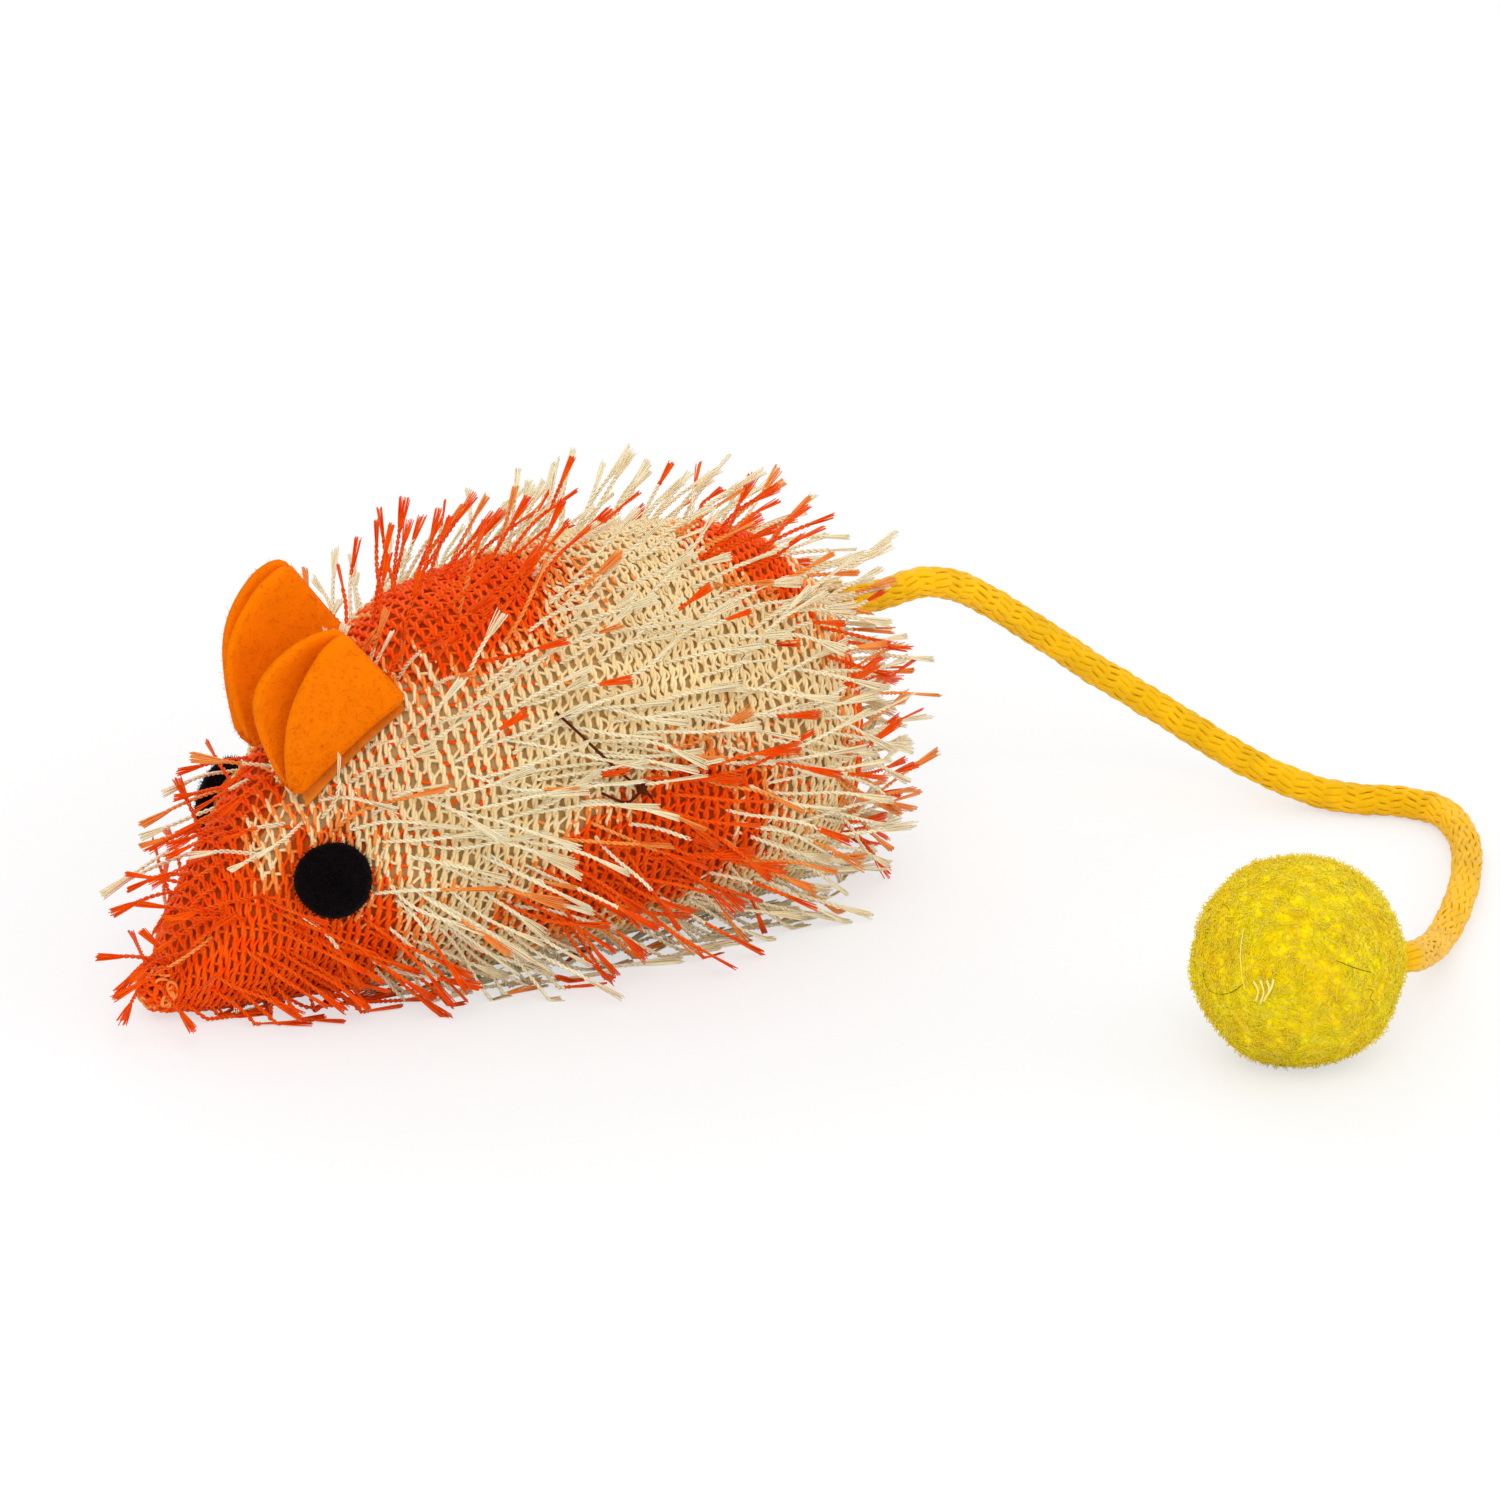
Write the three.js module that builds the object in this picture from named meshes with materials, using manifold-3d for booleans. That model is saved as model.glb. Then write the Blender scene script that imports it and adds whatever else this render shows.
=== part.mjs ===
// A catnip mouse: a stuffed cat toy in an eyelash-knit sleeve, with felt ears and eyes, and a cord tail
// that ends in a pompom. Millimetres, +Z up. The nose points along -X and the tail leaves along +X. The
// left side is -Y. The origin is on the surface that the mouse stands on, under the middle of its length.
import * as THREE from "three";
import { mergeVertices } from "three/addons/utils/BufferGeometryUtils.js";
import Module from "manifold-3d";

// Driving dimensions
const BODY_LENGTH = 79;
const BODY_WIDTH = 40;
const BODY_HEIGHT = 41;
const CLEARANCE = 0.3; // between any two pieces that touch on the real toy
const OVERRUN = 6; // how far a cutting tool runs past what it cuts

// Layers of the skin, from the outside in
const PILE_BACKING = 0.4; // the slice of knit that carries the eyelash tufts
const KNIT_THICKNESS = 0.6;
const LINER_THICKNESS = 0.4;
const KNIT_DEPTH = PILE_BACKING + CLEARANCE;
const LINER_DEPTH = KNIT_DEPTH + KNIT_THICKNESS + CLEARANCE;
const STUFFING_DEPTH = LINER_DEPTH + LINER_THICKNESS + CLEARANCE;

// Eyelash tufts: each is a twisted yarn that opens into a brush at its cut end
const TUFT_LENGTH = 7.8;
const TUFT_ROOT_RADIUS = 0.42;
const TUFT_NECK_RADIUS = 0.34;
const TUFT_BRUSH_RADIUS = 0.5;
const TUFT_NECK_SHARE = 0.62; // of a tuft's length, where its yarn opens into the brush
const TUFT_UNEVEN_SHARE = 0.1; // how much shorter or longer than the rest a tuft can be
const TUFT_FLOOR_GAP = 1.2; // a tuft never reaches lower than this
const TUFT_PITCH = 2.1; // where the rows of stitches draw closer than this, only some carry a tuft
const TUFT_MISSING = 11; // elsewhere, one cell in so many is bare
const TUFT_MARGIN = 0.6; // room that a tuft leaves around eyes, ears and tail
const PATCH_GAP = 0.3; // between two patches of eyelash knit
const ROWS_PER_RING = 2; // of tufts
const turnBackShares = [0.05, 0.3]; // of the body's length, where tufts turn from forward to backward
const BACKWARD_LEAN_SHARE = 1.9; // how far they lie back at the belly
const UPRIGHT_SHARE = 1.25; // how much less they do so on the back
const FORWARD_LEAN_SHARE = 0.25; // how far they lie forward at the nose
const DOWNWARD_LEAN_SHARE = 0.35; // how far they hang down at the belly

// Felt ears
const FELT_THICKNESS = 1.3;
const EAR_STATION = 15; // from the nose tip to the front of the ear's fold
const EAR_SPREAD_ANGLE = 22; // degrees round from the middle between the ears
const EAR_ROLL_ANGLE = 9; // degrees by which that middle lies off the top, to the left
const EAR_RUN = 10.1; // how far back the fold reaches along the head
const EAR_HEIGHT = 12; // from the fold to the highest point of each flap
const EAR_FOOT_HEIGHT = 1.8; // the same at the front end
const EAR_FOLD_RADIUS = 1; // half the gap between its two flaps where they start
const EAR_MOUTH = 1.2; // how much further each flap stands out in the middle of its front edge
const EAR_STEP = 1; // how much further forward the inner flap's front edge is than the fold
const EAR_LEAN = 0.6; // how far both ears' tops lean to the left

// Felt eyes
const EYE_DIAMETER = 7.8;
const EYE_THICKNESS = 1.7;
const EYE_EDGE = 0.5; // rounding of its rim
const EYE_STATION = 15.8; // from the nose tip
const EYE_ANGLE = 75; // degrees round from the top of the head

// Glue under eyes and ears
const GLUE_THICKNESS = 0.3;
const EYE_GLUE_RADIUS = 2.6;
const EAR_GLUE_HALF_WIDTH = 1.1;

// Tail cord and pompom
const CORD_DIAMETER = 3.3;
const CORD_SIDES = 8;
const CORD_STEPS = 22;
const CORD_CORE_DIAMETER = 2.4; // the cord where stitches or pile squeeze it
const TAIL_INSET = 0.6; // how far before the rump's end the tail leaves it
const TAIL_REACH = 60; // from the tail's root to the far side of its bend
const TAIL_SWING_ANGLE = 45; // degrees to either side
const POMPOM_DIAMETER = 21;
const POMPOM_BEARING_ANGLE = 178; // degrees, the way from the cord's end to the pompom's middle
const POMPOM_FOOT = 0.4; // how much of the pompom's ball the floor flattens
const POMPOM_LUMP = 0.25; // depth of the lumps in its trimmed pile
const POMPOM_WAVES = [9, 8, 7]; // how closely the lumps follow each other along X, Y and Z
const KNOT_RADIUS = 2.1;
const BINDING_DIAMETER = 1;
const BINDING_RADIUS = 3.2; // from the middle of the pompom

// Threads
const THREAD_DIAMETER = 0.6;
const NOSE_KNOB_RADIUS = 3.2;
const NOSE_KNOB_STATION = 2.9; // from the nose tip
const NOSE_THREAD_SHARE = 0.8; // how far back from the sleeve's mouth its thread runs, in rings
const RUMP_RING_RADIUS = 3.1; // of the gathering thread round the tail's root
const THREAD_STEPS = 24;
const LOOP_POINTS = 12; // that a ring of thread is drawn through
const BALL_SIDES = 12; // of a knot

// Catnip sachet, which lies flat in the middle of the stuffing
const SACHET_LENGTH = 30;
const SACHET_WIDTH = 20;
const SACHET_DEPTH = 9;
const SACHET_FLANGE = 2; // width of the sealed rim
const SACHET_SHEET = 0.4;
const SACHET_STATION_SHARE = 0.58; // of the body's length, from the nose tip to its middle
const SACHET_HEIGHT = 19; // above the floor

// Colours
const CREAM = 0xe2cf9e;
const RUST_ORANGE = 0xe0400e;
const EAR_ORANGE = 0xff7d08;
const FELT_BLACK = 0x120c10;
const TAIL_AMBER = 0xfdb520;
const POMPOM_YELLOW = 0xf0d21c;
const LINER_TAN = 0xb98a58;
const FIBRE_WHITE = 0xf2f0ea;
const GLUE_CLEAR = 0xe9e4d2;
const CATNIP_GREEN = 0x6f7a3c;
const THREAD_BROWN = 0x4a1d10;

const wasm = await Module();
wasm.setup();

const mouse = new THREE.Group();

const finish = (color, roughness, metalness = 0) =>
  new THREE.MeshStandardMaterial({ color, roughness, metalness });

function add(name, geometry, material) {
  const mesh = new THREE.Mesh(geometry, material);
  mesh.name = name;
  mouse.add(mesh);
  return mesh;
}

// Solids and booleans

function solid(geometry) {
  const bare = new THREE.BufferGeometry();
  bare.setAttribute("position", geometry.getAttribute("position"));
  bare.setIndex(geometry.index);
  const merged = mergeVertices(bare);
  return new wasm.Manifold(
    new wasm.Mesh({
      numProp: 3,
      vertProperties: merged.getAttribute("position").array,
      triVerts: new Uint32Array(merged.index.array),
    }),
  );
}

function shape(manifold) {
  const mesh = manifold.getMesh();
  const geometry = new THREE.BufferGeometry();
  geometry.setAttribute("position", new THREE.BufferAttribute(mesh.vertProperties, 3));
  geometry.setIndex(new THREE.BufferAttribute(mesh.triVerts, 1));
  geometry.computeVertexNormals();
  return geometry;
}

function surface(points, triangles) {
  const geometry = new THREE.BufferGeometry();
  const numbers = points.flatMap((p) => p.toArray());
  geometry.setAttribute("position", new THREE.Float32BufferAttribute(numbers, 3));
  geometry.setIndex(triangles.flat());
  geometry.computeVertexNormals();
  return geometry;
}

// A closed sheet over a grid of columns by rows: point(column, row, side) gives side 0, the face that is
// seen with columns to the right and rows upward, and side 1, its back.
function slab(columns, rows, point) {
  const points = [];
  const triangles = [];
  const at = (c, r, side) => (side * (rows + 1) + r) * (columns + 1) + c;
  for (const side of [0, 1])
    for (let r = 0; r <= rows; r++) for (let c = 0; c <= columns; c++) points.push(point(c, r, side));
  for (let r = 0; r < rows; r++)
    for (let c = 0; c < columns; c++) {
      triangles.push([at(c, r, 0), at(c + 1, r, 0), at(c + 1, r + 1, 0)]);
      triangles.push([at(c, r, 0), at(c + 1, r + 1, 0), at(c, r + 1, 0)]);
      triangles.push([at(c, r, 1), at(c + 1, r + 1, 1), at(c + 1, r, 1)]);
      triangles.push([at(c, r, 1), at(c, r + 1, 1), at(c + 1, r + 1, 1)]);
    }
  const wall = (a, b) =>
    triangles.push([at(...b, 0), at(...a, 0), at(...a, 1)], [at(...b, 0), at(...a, 1), at(...b, 1)]);
  for (let c = 0; c < columns; c++) {
    wall([c, 0], [c + 1, 0]);
    wall([c + 1, rows], [c, rows]);
  }
  for (let r = 0; r < rows; r++) {
    wall([columns, r], [columns, r + 1]);
    wall([0, r + 1], [0, r]);
  }
  return surface(points, triangles);
}

// A round cord along a smooth route
function cord(route, diameter, steps, sides) {
  const section = new THREE.Shape();
  section.absarc(0, 0, diameter / 2, 0, 2 * Math.PI);
  const path = new THREE.CatmullRomCurve3(route, false, "centripetal");
  const options = { steps, extrudePath: path, curveSegments: sides / 2, bevelEnabled: false };
  return new THREE.ExtrudeGeometry(section, options);
}

const ball = (centre, radius, detail) => {
  const sphere = new THREE.SphereGeometry(radius, detail, detail / 2);
  sphere.translate(...centre.toArray());
  return solid(sphere);
};

const rod = (from, to, radius, sides) => {
  const axis = to.clone().sub(from);
  const cylinder = new THREE.CylinderGeometry(radius, radius, axis.length(), sides);
  const turned = new THREE.Quaternion().setFromUnitVectors(new THREE.Vector3(0, 1, 0), axis.normalize());
  cylinder.applyQuaternion(turned);
  cylinder.translate(...from.clone().add(to).multiplyScalar(0.5).toArray());
  return solid(cylinder);
};

// The body's form: shares of its length, of half its width, and of its height for its top and bottom
// lines. The bottom line runs below the floor, where the stuffed body spreads flat.
const profileShares = [
  [0.0, 0.0, 0.045, 0.045],
  [0.006, 0.095, 0.102, 0.01],
  [0.03, 0.19, 0.2, -0.005],
  [0.08, 0.34, 0.363, -0.02],
  [0.145, 0.47, 0.537, -0.028],
  [0.22, 0.6, 0.693, -0.035],
  [0.31, 0.765, 0.851, -0.045],
  [0.41, 0.905, 0.955, -0.05],
  [0.52, 0.975, 0.99, -0.05],
  [0.63, 1.0, 1.0, -0.05],
  [0.74, 1.0, 0.983, -0.048],
  [0.84, 0.945, 0.952, -0.04],
  [0.92, 0.815, 0.882, 0.0],
  [0.968, 0.63, 0.785, 0.09],
  [0.992, 0.4, 0.655, 0.21],
  [1.0, 0.0, 0.44, 0.44],
];
const alongCurve = new THREE.CatmullRomCurve3(
  profileShares.map(([along, width, top]) => new THREE.Vector3(along, width, top)),
);
const bottomCurve = new THREE.CatmullRomCurve3(
  profileShares.map(([along, width, , bottom]) => new THREE.Vector3(along, width, bottom)),
);
const RINGS = profileShares.length - 1;
const RING_ACCURACY = 1e-4;
const COLUMNS = 24; // round the knit
const INNER_COLUMNS = 12; // round the liner and the stuffing

// A point of the smooth body, before any inset: ring runs from 0 at the nose tip to RINGS at the rump,
// and turn is in radians from the top of the back towards the left side.
function formPoint(ring, turn) {
  const share = THREE.MathUtils.clamp(ring / RINGS, 0, 1);
  const { x: along, y: width, z: top } = alongCurve.getPoint(share);
  const bottom = bottomCurve.getPoint(share).z;
  return new THREE.Vector3(
    (along - 0.5) * BODY_LENGTH,
    (-Math.sin(turn) * width * BODY_WIDTH) / 2,
    (((top + bottom) + Math.cos(turn) * (top - bottom)) * BODY_HEIGHT) / 2,
  );
}

function formNormal(ring, turn) {
  const step = 0.05;
  if (ring < step) return new THREE.Vector3(-1, 0, 0);
  if (ring > RINGS - step) return new THREE.Vector3(1, 0, 0);
  const along = formPoint(ring + step, turn).sub(formPoint(ring - step, turn));
  const round = formPoint(ring, turn + step).sub(formPoint(ring, turn - step));
  return round.cross(along).normalize();
}

// A point of the body's skin at some depth under the eyelash knit's outer face; a negative depth lies
// outside it. The belly is flat, and the knit itself lies on the floor there.
function skinPoint(ring, turn, depth = 0) {
  const p = formPoint(ring, turn).addScaledVector(formNormal(ring, turn), -depth);
  p.z = Math.max(p.z, depth - KNIT_DEPTH);
  return p;
}

// The ring that lies some way from the nose tip
function ringAt(station) {
  let low = 0;
  let high = RINGS;
  while (high - low > RING_ACCURACY) {
    const middle = (low + high) / 2;
    if (formPoint(middle, 0).x + BODY_LENGTH / 2 < station) low = middle;
    else high = middle;
  }
  return low;
}

const turnOf = (column, columns = COLUMNS) => (column * 2 * Math.PI) / columns;

// The skin between two depths, open at the nose from the given ring
function shell(outerDepth, innerDepth, fromRing, columns) {
  const points = [];
  const triangles = [];
  const rings = RINGS - fromRing;
  const at = (c, r, side) => (side * rings + r) * columns + (c % columns);
  for (const depth of [outerDepth, innerDepth])
    for (let r = 0; r < rings; r++)
      for (let c = 0; c < columns; c++) points.push(skinPoint(fromRing + r, turnOf(c, columns), depth));
  const poles = [outerDepth, innerDepth].map((depth) => points.push(skinPoint(RINGS, 0, depth)) - 1);
  for (let c = 0; c < columns; c++) {
    for (let r = 0; r < rings - 1; r++) {
      triangles.push([at(c, r, 0), at(c + 1, r, 0), at(c + 1, r + 1, 0)]);
      triangles.push([at(c, r, 0), at(c + 1, r + 1, 0), at(c, r + 1, 0)]);
      triangles.push([at(c, r, 1), at(c + 1, r + 1, 1), at(c + 1, r, 1)]);
      triangles.push([at(c, r, 1), at(c, r + 1, 1), at(c + 1, r + 1, 1)]);
    }
    triangles.push([at(c, rings - 1, 0), at(c + 1, rings - 1, 0), poles[0]]);
    triangles.push([at(c + 1, rings - 1, 1), at(c, rings - 1, 1), poles[1]]);
    triangles.push([at(c + 1, 0, 0), at(c, 0, 0), at(c, 0, 1)]);
    triangles.push([at(c + 1, 0, 0), at(c, 0, 1), at(c + 1, 0, 1)]);
  }
  return surface(points, triangles);
}

// The body's inside as one closed solid at some depth, cut off square at the given ring
function plug(depth, fromRing, columns) {
  const points = [];
  const triangles = [];
  const rings = RINGS - fromRing;
  const at = (c, r) => r * columns + (c % columns);
  for (let r = 0; r < rings; r++)
    for (let c = 0; c < columns; c++) points.push(skinPoint(fromRing + r, turnOf(c, columns), depth));
  const front = points[0].clone().lerp(points[columns / 2], 0.5);
  const nose = points.push(front) - 1;
  const rump = points.push(skinPoint(RINGS, 0, depth)) - 1;
  for (let c = 0; c < columns; c++) {
    for (let r = 0; r < rings - 1; r++) {
      triangles.push([at(c, r), at(c + 1, r), at(c + 1, r + 1)]);
      triangles.push([at(c, r), at(c + 1, r + 1), at(c, r + 1)]);
    }
    triangles.push([at(c + 1, 0), at(c, 0), nose]);
    triangles.push([at(c, rings - 1), at(c + 1, rings - 1), rump]);
  }
  return surface(points, triangles);
}

// Turns a shape made round the Y axis so that the axis points along a direction, and sets it at a place
function placed(geometry, origin, direction) {
  const turned = new THREE.Quaternion().setFromUnitVectors(new THREE.Vector3(0, 1, 0), direction);
  return geometry.applyQuaternion(turned).translate(...origin.toArray());
}

// Points of a circle round a middle, across two directions
const circle = (middle, across, upward, radius) =>
  Array.from({ length: LOOP_POINTS }, (_, i) => {
    const turn = turnOf(i, LOOP_POINTS);
    return middle
      .clone()
      .addScaledVector(across, Math.cos(turn) * radius)
      .addScaledVector(upward, Math.sin(turn) * radius);
  });

// A closed ring of thread through a loop of points
function threadRing(points, diameter) {
  const loop = new THREE.CatmullRomCurve3(points, true);
  const sides = 6;
  const vertices = [];
  const triangles = [];
  const frames = loop.computeFrenetFrames(THREAD_STEPS, true);
  const at = (i, j) => (i % THREAD_STEPS) * sides + (j % sides);
  for (let i = 0; i < THREAD_STEPS; i++)
    for (let j = 0; j < sides; j++) {
      const angle = (j * 2 * Math.PI) / sides;
      vertices.push(
        loop
          .getPointAt(i / THREAD_STEPS)
          .addScaledVector(frames.normals[i], (Math.cos(angle) * diameter) / 2)
          .addScaledVector(frames.binormals[i], (Math.sin(angle) * diameter) / 2),
      );
      triangles.push([at(i, j), at(i, j + 1), at(i + 1, j + 1)]);
      triangles.push([at(i, j), at(i + 1, j + 1), at(i + 1, j)]);
    }
  return surface(vertices, triangles);
}

// Tail: the point it turns about, its route and the pompom at its end
const tailRing = ringAt(BODY_LENGTH - TAIL_INSET);
const tailNormal = formNormal(tailRing, 0);
const tailRoot = skinPoint(tailRing, 0, KNIT_DEPTH - CLEARANCE - CORD_DIAMETER / 2);
const cordRest = CORD_DIAMETER / 2; // the height of the cord's middle where it lies on the floor
const pompomHeight = POMPOM_DIAMETER / 2 - POMPOM_FOOT;

// Shares of the tail's reach behind the root and to the side, and how far each point is lifted by the
// rump and by the pompom; where both are zero, the cord lies on the floor
const tailRouteShares = [
  [0.0, 0.0, 1.0, 0],
  [0.09, 0.0, 0.992, 0],
  [0.177, 0.0, 1.0, 0],
  [0.253, -0.002, 0.925, 0],
  [0.335, -0.008, 0.777, 0],
  [0.413, -0.023, 0.622, 0],
  [0.488, -0.043, 0.471, 0],
  [0.567, -0.073, 0.324, 0],
  [0.635, -0.122, 0.197, 0],
  [0.697, -0.19, 0.093, 0],
  [0.758, -0.267, 0.026, 0],
  [0.818, -0.323, 0.0, 0],
  [0.878, -0.367, 0.0, 0],
  [0.918, -0.433, 0.0, 0],
  [0.905, -0.533, 0.0, 0],
  [0.842, -0.653, 0.0, 0],
  [0.75, -0.775, 0.0, 0],
  [0.653, -0.88, 0.0, 0.065],
  [0.572, -0.975, 0.0, 0.35],
  [0.517, -1.033, 0.0, 0.55],
  [0.478, -1.073, 0.0, 0.72],
];
const tailPoints = tailRouteShares.map(
  ([back, side, rump, pompom]) =>
    new THREE.Vector3(
      tailRoot.x + back * TAIL_REACH,
      tailRoot.y + side * TAIL_REACH,
      cordRest + rump * (tailRoot.z - cordRest) + pompom * (pompomHeight - cordRest),
    ),
);
const tailEnd = tailPoints.at(-1);
// From the cord's end to the pompom's middle
const pompomAway = POMPOM_DIAMETER / 2 + POMPOM_LUMP + CLEARANCE + CORD_DIAMETER / 2;
const pompomFlat = Math.sqrt(pompomAway ** 2 - (pompomHeight - tailEnd.z) ** 2);
const pompomBearing = THREE.MathUtils.degToRad(POMPOM_BEARING_ANGLE);
const pompomCentre = new THREE.Vector3(
  tailEnd.x + pompomFlat * Math.cos(pompomBearing),
  tailEnd.y + pompomFlat * Math.sin(pompomBearing),
  pompomHeight,
);

// Eyes and ears: the point on the knit under each, and the way it faces
const seat = (station, degrees, side) => {
  const ring = ringAt(station);
  const turn = THREE.MathUtils.degToRad(degrees) * side;
  return { ring, turn, normal: formNormal(ring, turn) };
};
const glueTop = KNIT_DEPTH - CLEARANCE - GLUE_THICKNESS;
const SIDES = { left: 1, right: -1 };

// The line on the head along which an ear's fold lies: share runs from 0 at the front to 1 at the back
const earAngle = (side) => EAR_ROLL_ANGLE + EAR_SPREAD_ANGLE * side;
const earTurn = (side) => THREE.MathUtils.degToRad(earAngle(side));
const earRing = (share) => ringAt(EAR_STATION + EAR_RUN * share);

// The section of a folded ear, from one edge over the fold to the other: an arc of a half turn and two
// straight flaps
const foldShares = [-1, -0.5, 0, 0.5, 1];
const flapShares = [0.4, 1];
const earSection = [
  ...flapShares.map((share) => [-1, -share]).reverse(),
  ...foldShares.map((share) => [share, 0]),
  ...flapShares.map((share) => [1, share]),
];

// A point of an ear's middle surface: bend and flap are one entry of the section, and share runs along
// the fold
function earPoint(side, [bend, flap], share) {
  const ring = earRing(THREE.MathUtils.clamp(share, 0, 1));
  const base = skinPoint(ring, earTurn(side), glueTop - CLEARANCE - FELT_THICKNESS / 2);
  const rise = formNormal(ring, earTurn(side));
  rise.y = 0;
  rise.normalize();
  const angle = (bend * Math.PI) / 2;
  const full = EAR_FOOT_HEIGHT + (EAR_HEIGHT - EAR_FOOT_HEIGHT) * (1 - (1 - share) ** 3);
  const height = EAR_FOLD_RADIUS * (1 - Math.cos(angle)) + Math.abs(flap) * (full - EAR_FOLD_RADIUS);
  const lift = height / EAR_HEIGHT;
  const lens = Math.sin(Math.PI * share) * flap;
  const away = EAR_FOLD_RADIUS * Math.sin(angle) + EAR_MOUTH * lens - EAR_LEAN * lift;
  return base.addScaledVector(rise, height).add(new THREE.Vector3(-side * EAR_STEP * lens, away, 0));
}

const eyeSeats = {};
for (const [name, side] of Object.entries(SIDES)) {
  const eye = seat(EYE_STATION, EYE_ANGLE, side);
  eyeSeats[name] = { ...eye, back: skinPoint(eye.ring, eye.turn, glueTop - CLEARANCE) };
}

// What the eyelash tufts keep clear of: balls that cover the eyes, the ears and the tail's swing
const keepOut = [];
const shareSteps = (steps) => Array.from({ length: steps + 1 }, (_, i) => i / steps);
for (const [name, side] of Object.entries(SIDES)) {
  for (const entry of earSection)
    for (const share of shareSteps(4))
      keepOut.push({ centre: earPoint(side, entry, share), radius: FELT_THICKNESS / 2 });
  keepOut.push({ centre: eyeSeats[name].back, radius: EYE_DIAMETER / 2 });
}
const tailStart = new THREE.CatmullRomCurve3(tailPoints.slice(0, 5));
for (const swingShare of shareSteps(8))
  for (const share of shareSteps(8)) {
    const swing = THREE.MathUtils.degToRad(TAIL_SWING_ANGLE * (2 * swingShare - 1));
    const p = tailStart.getPoint(share).sub(tailRoot).applyAxisAngle(new THREE.Vector3(0, 0, 1), swing);
    keepOut.push({ centre: p.add(tailRoot), radius: (CORD_DIAMETER + RUMP_RING_RADIUS) / 2 });
  }

function isFree(root, tip) {
  const strand = new THREE.Line3(root, tip);
  const nearest = new THREE.Vector3();
  return keepOut.every(({ centre, radius }) => {
    strand.closestPointToPoint(centre, true, nearest);
    return nearest.distanceTo(centre) > radius + TUFT_BRUSH_RADIUS + TUFT_MARGIN;
  });
}

// The way a tuft lies: forward round the nose, back along the flanks, up and back on the back
function tuftDirection(p, normal) {
  const along = THREE.MathUtils.clamp(p.x / BODY_LENGTH + 0.5, 0, 1);
  const height = THREE.MathUtils.clamp(p.z / BODY_HEIGHT, 0, 1);
  const back = THREE.MathUtils.smoothstep(along, ...turnBackShares);
  const tailward = BACKWARD_LEAN_SHARE - UPRIGHT_SHARE * height ** 2;
  const backward = back * tailward - FORWARD_LEAN_SHARE * (1 - back);
  const lean = new THREE.Vector3(backward, 0, -DOWNWARD_LEAN_SHARE * (1 - height));
  return normal.clone().add(lean).normalize();
}

// Adds a tuft to a cell, given the numbers of the cell's corners: a three-sided strand that stands in the
// middle of the cell. Returns false where there is no room for it.
function growTuft(points, triangles, corners, uneven) {
  const [a, b, d, e] = corners;
  const [pa, pb, pd, pe] = corners.map((i) => points[i]);
  const middle = pa.clone().add(pb).add(pd).add(pe).multiplyScalar(1 / corners.length);
  const across = pb.clone().sub(pa).add(pd).sub(pe).normalize();
  const ahead = pe.clone().sub(pa).add(pd).sub(pb);
  const normal = across.clone().cross(ahead).normalize();
  const upward = normal.clone().cross(across);
  const length = TUFT_LENGTH * (1 + TUFT_UNEVEN_SHARE * uneven);
  const tip = middle.clone().addScaledVector(tuftDirection(middle, normal), length);
  tip.z = Math.max(tip.z, TUFT_FLOOR_GAP + TUFT_BRUSH_RADIUS);
  if (!isFree(middle, tip)) return false;
  const turned = new THREE.Quaternion().setFromUnitVectors(normal, tip.clone().sub(middle).normalize());
  const corner = (centre, radius, degrees, spin) => {
    const angle = THREE.MathUtils.degToRad(degrees);
    const offset = across.clone().multiplyScalar(Math.cos(angle)).addScaledVector(upward, Math.sin(angle));
    if (spin) offset.applyQuaternion(turned);
    return points.push(centre.clone().addScaledVector(offset, radius)) - 1;
  };
  const ring = (centre, radius, spin) =>
    [-90, 30, 150].map((degrees) => corner(centre, radius, degrees, spin));
  const [k, l, m] = ring(middle, TUFT_ROOT_RADIUS, false);
  triangles.push([a, b, k], [b, l, k], [b, d, l], [d, m, l], [d, e, m], [e, a, m], [a, k, m]);
  const neck = middle.clone().lerp(tip, TUFT_NECK_SHARE);
  let below = [k, l, m];
  for (const above of [ring(neck, TUFT_NECK_RADIUS, true), ring(tip, TUFT_BRUSH_RADIUS, true)]) {
    for (let i = 0; i < below.length; i++) {
      const j = (i + 1) % below.length;
      triangles.push([below[i], below[j], above[j]], [below[i], above[j], above[i]]);
    }
    below = above;
  }
  triangles.push(below);
  return true;
}

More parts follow.
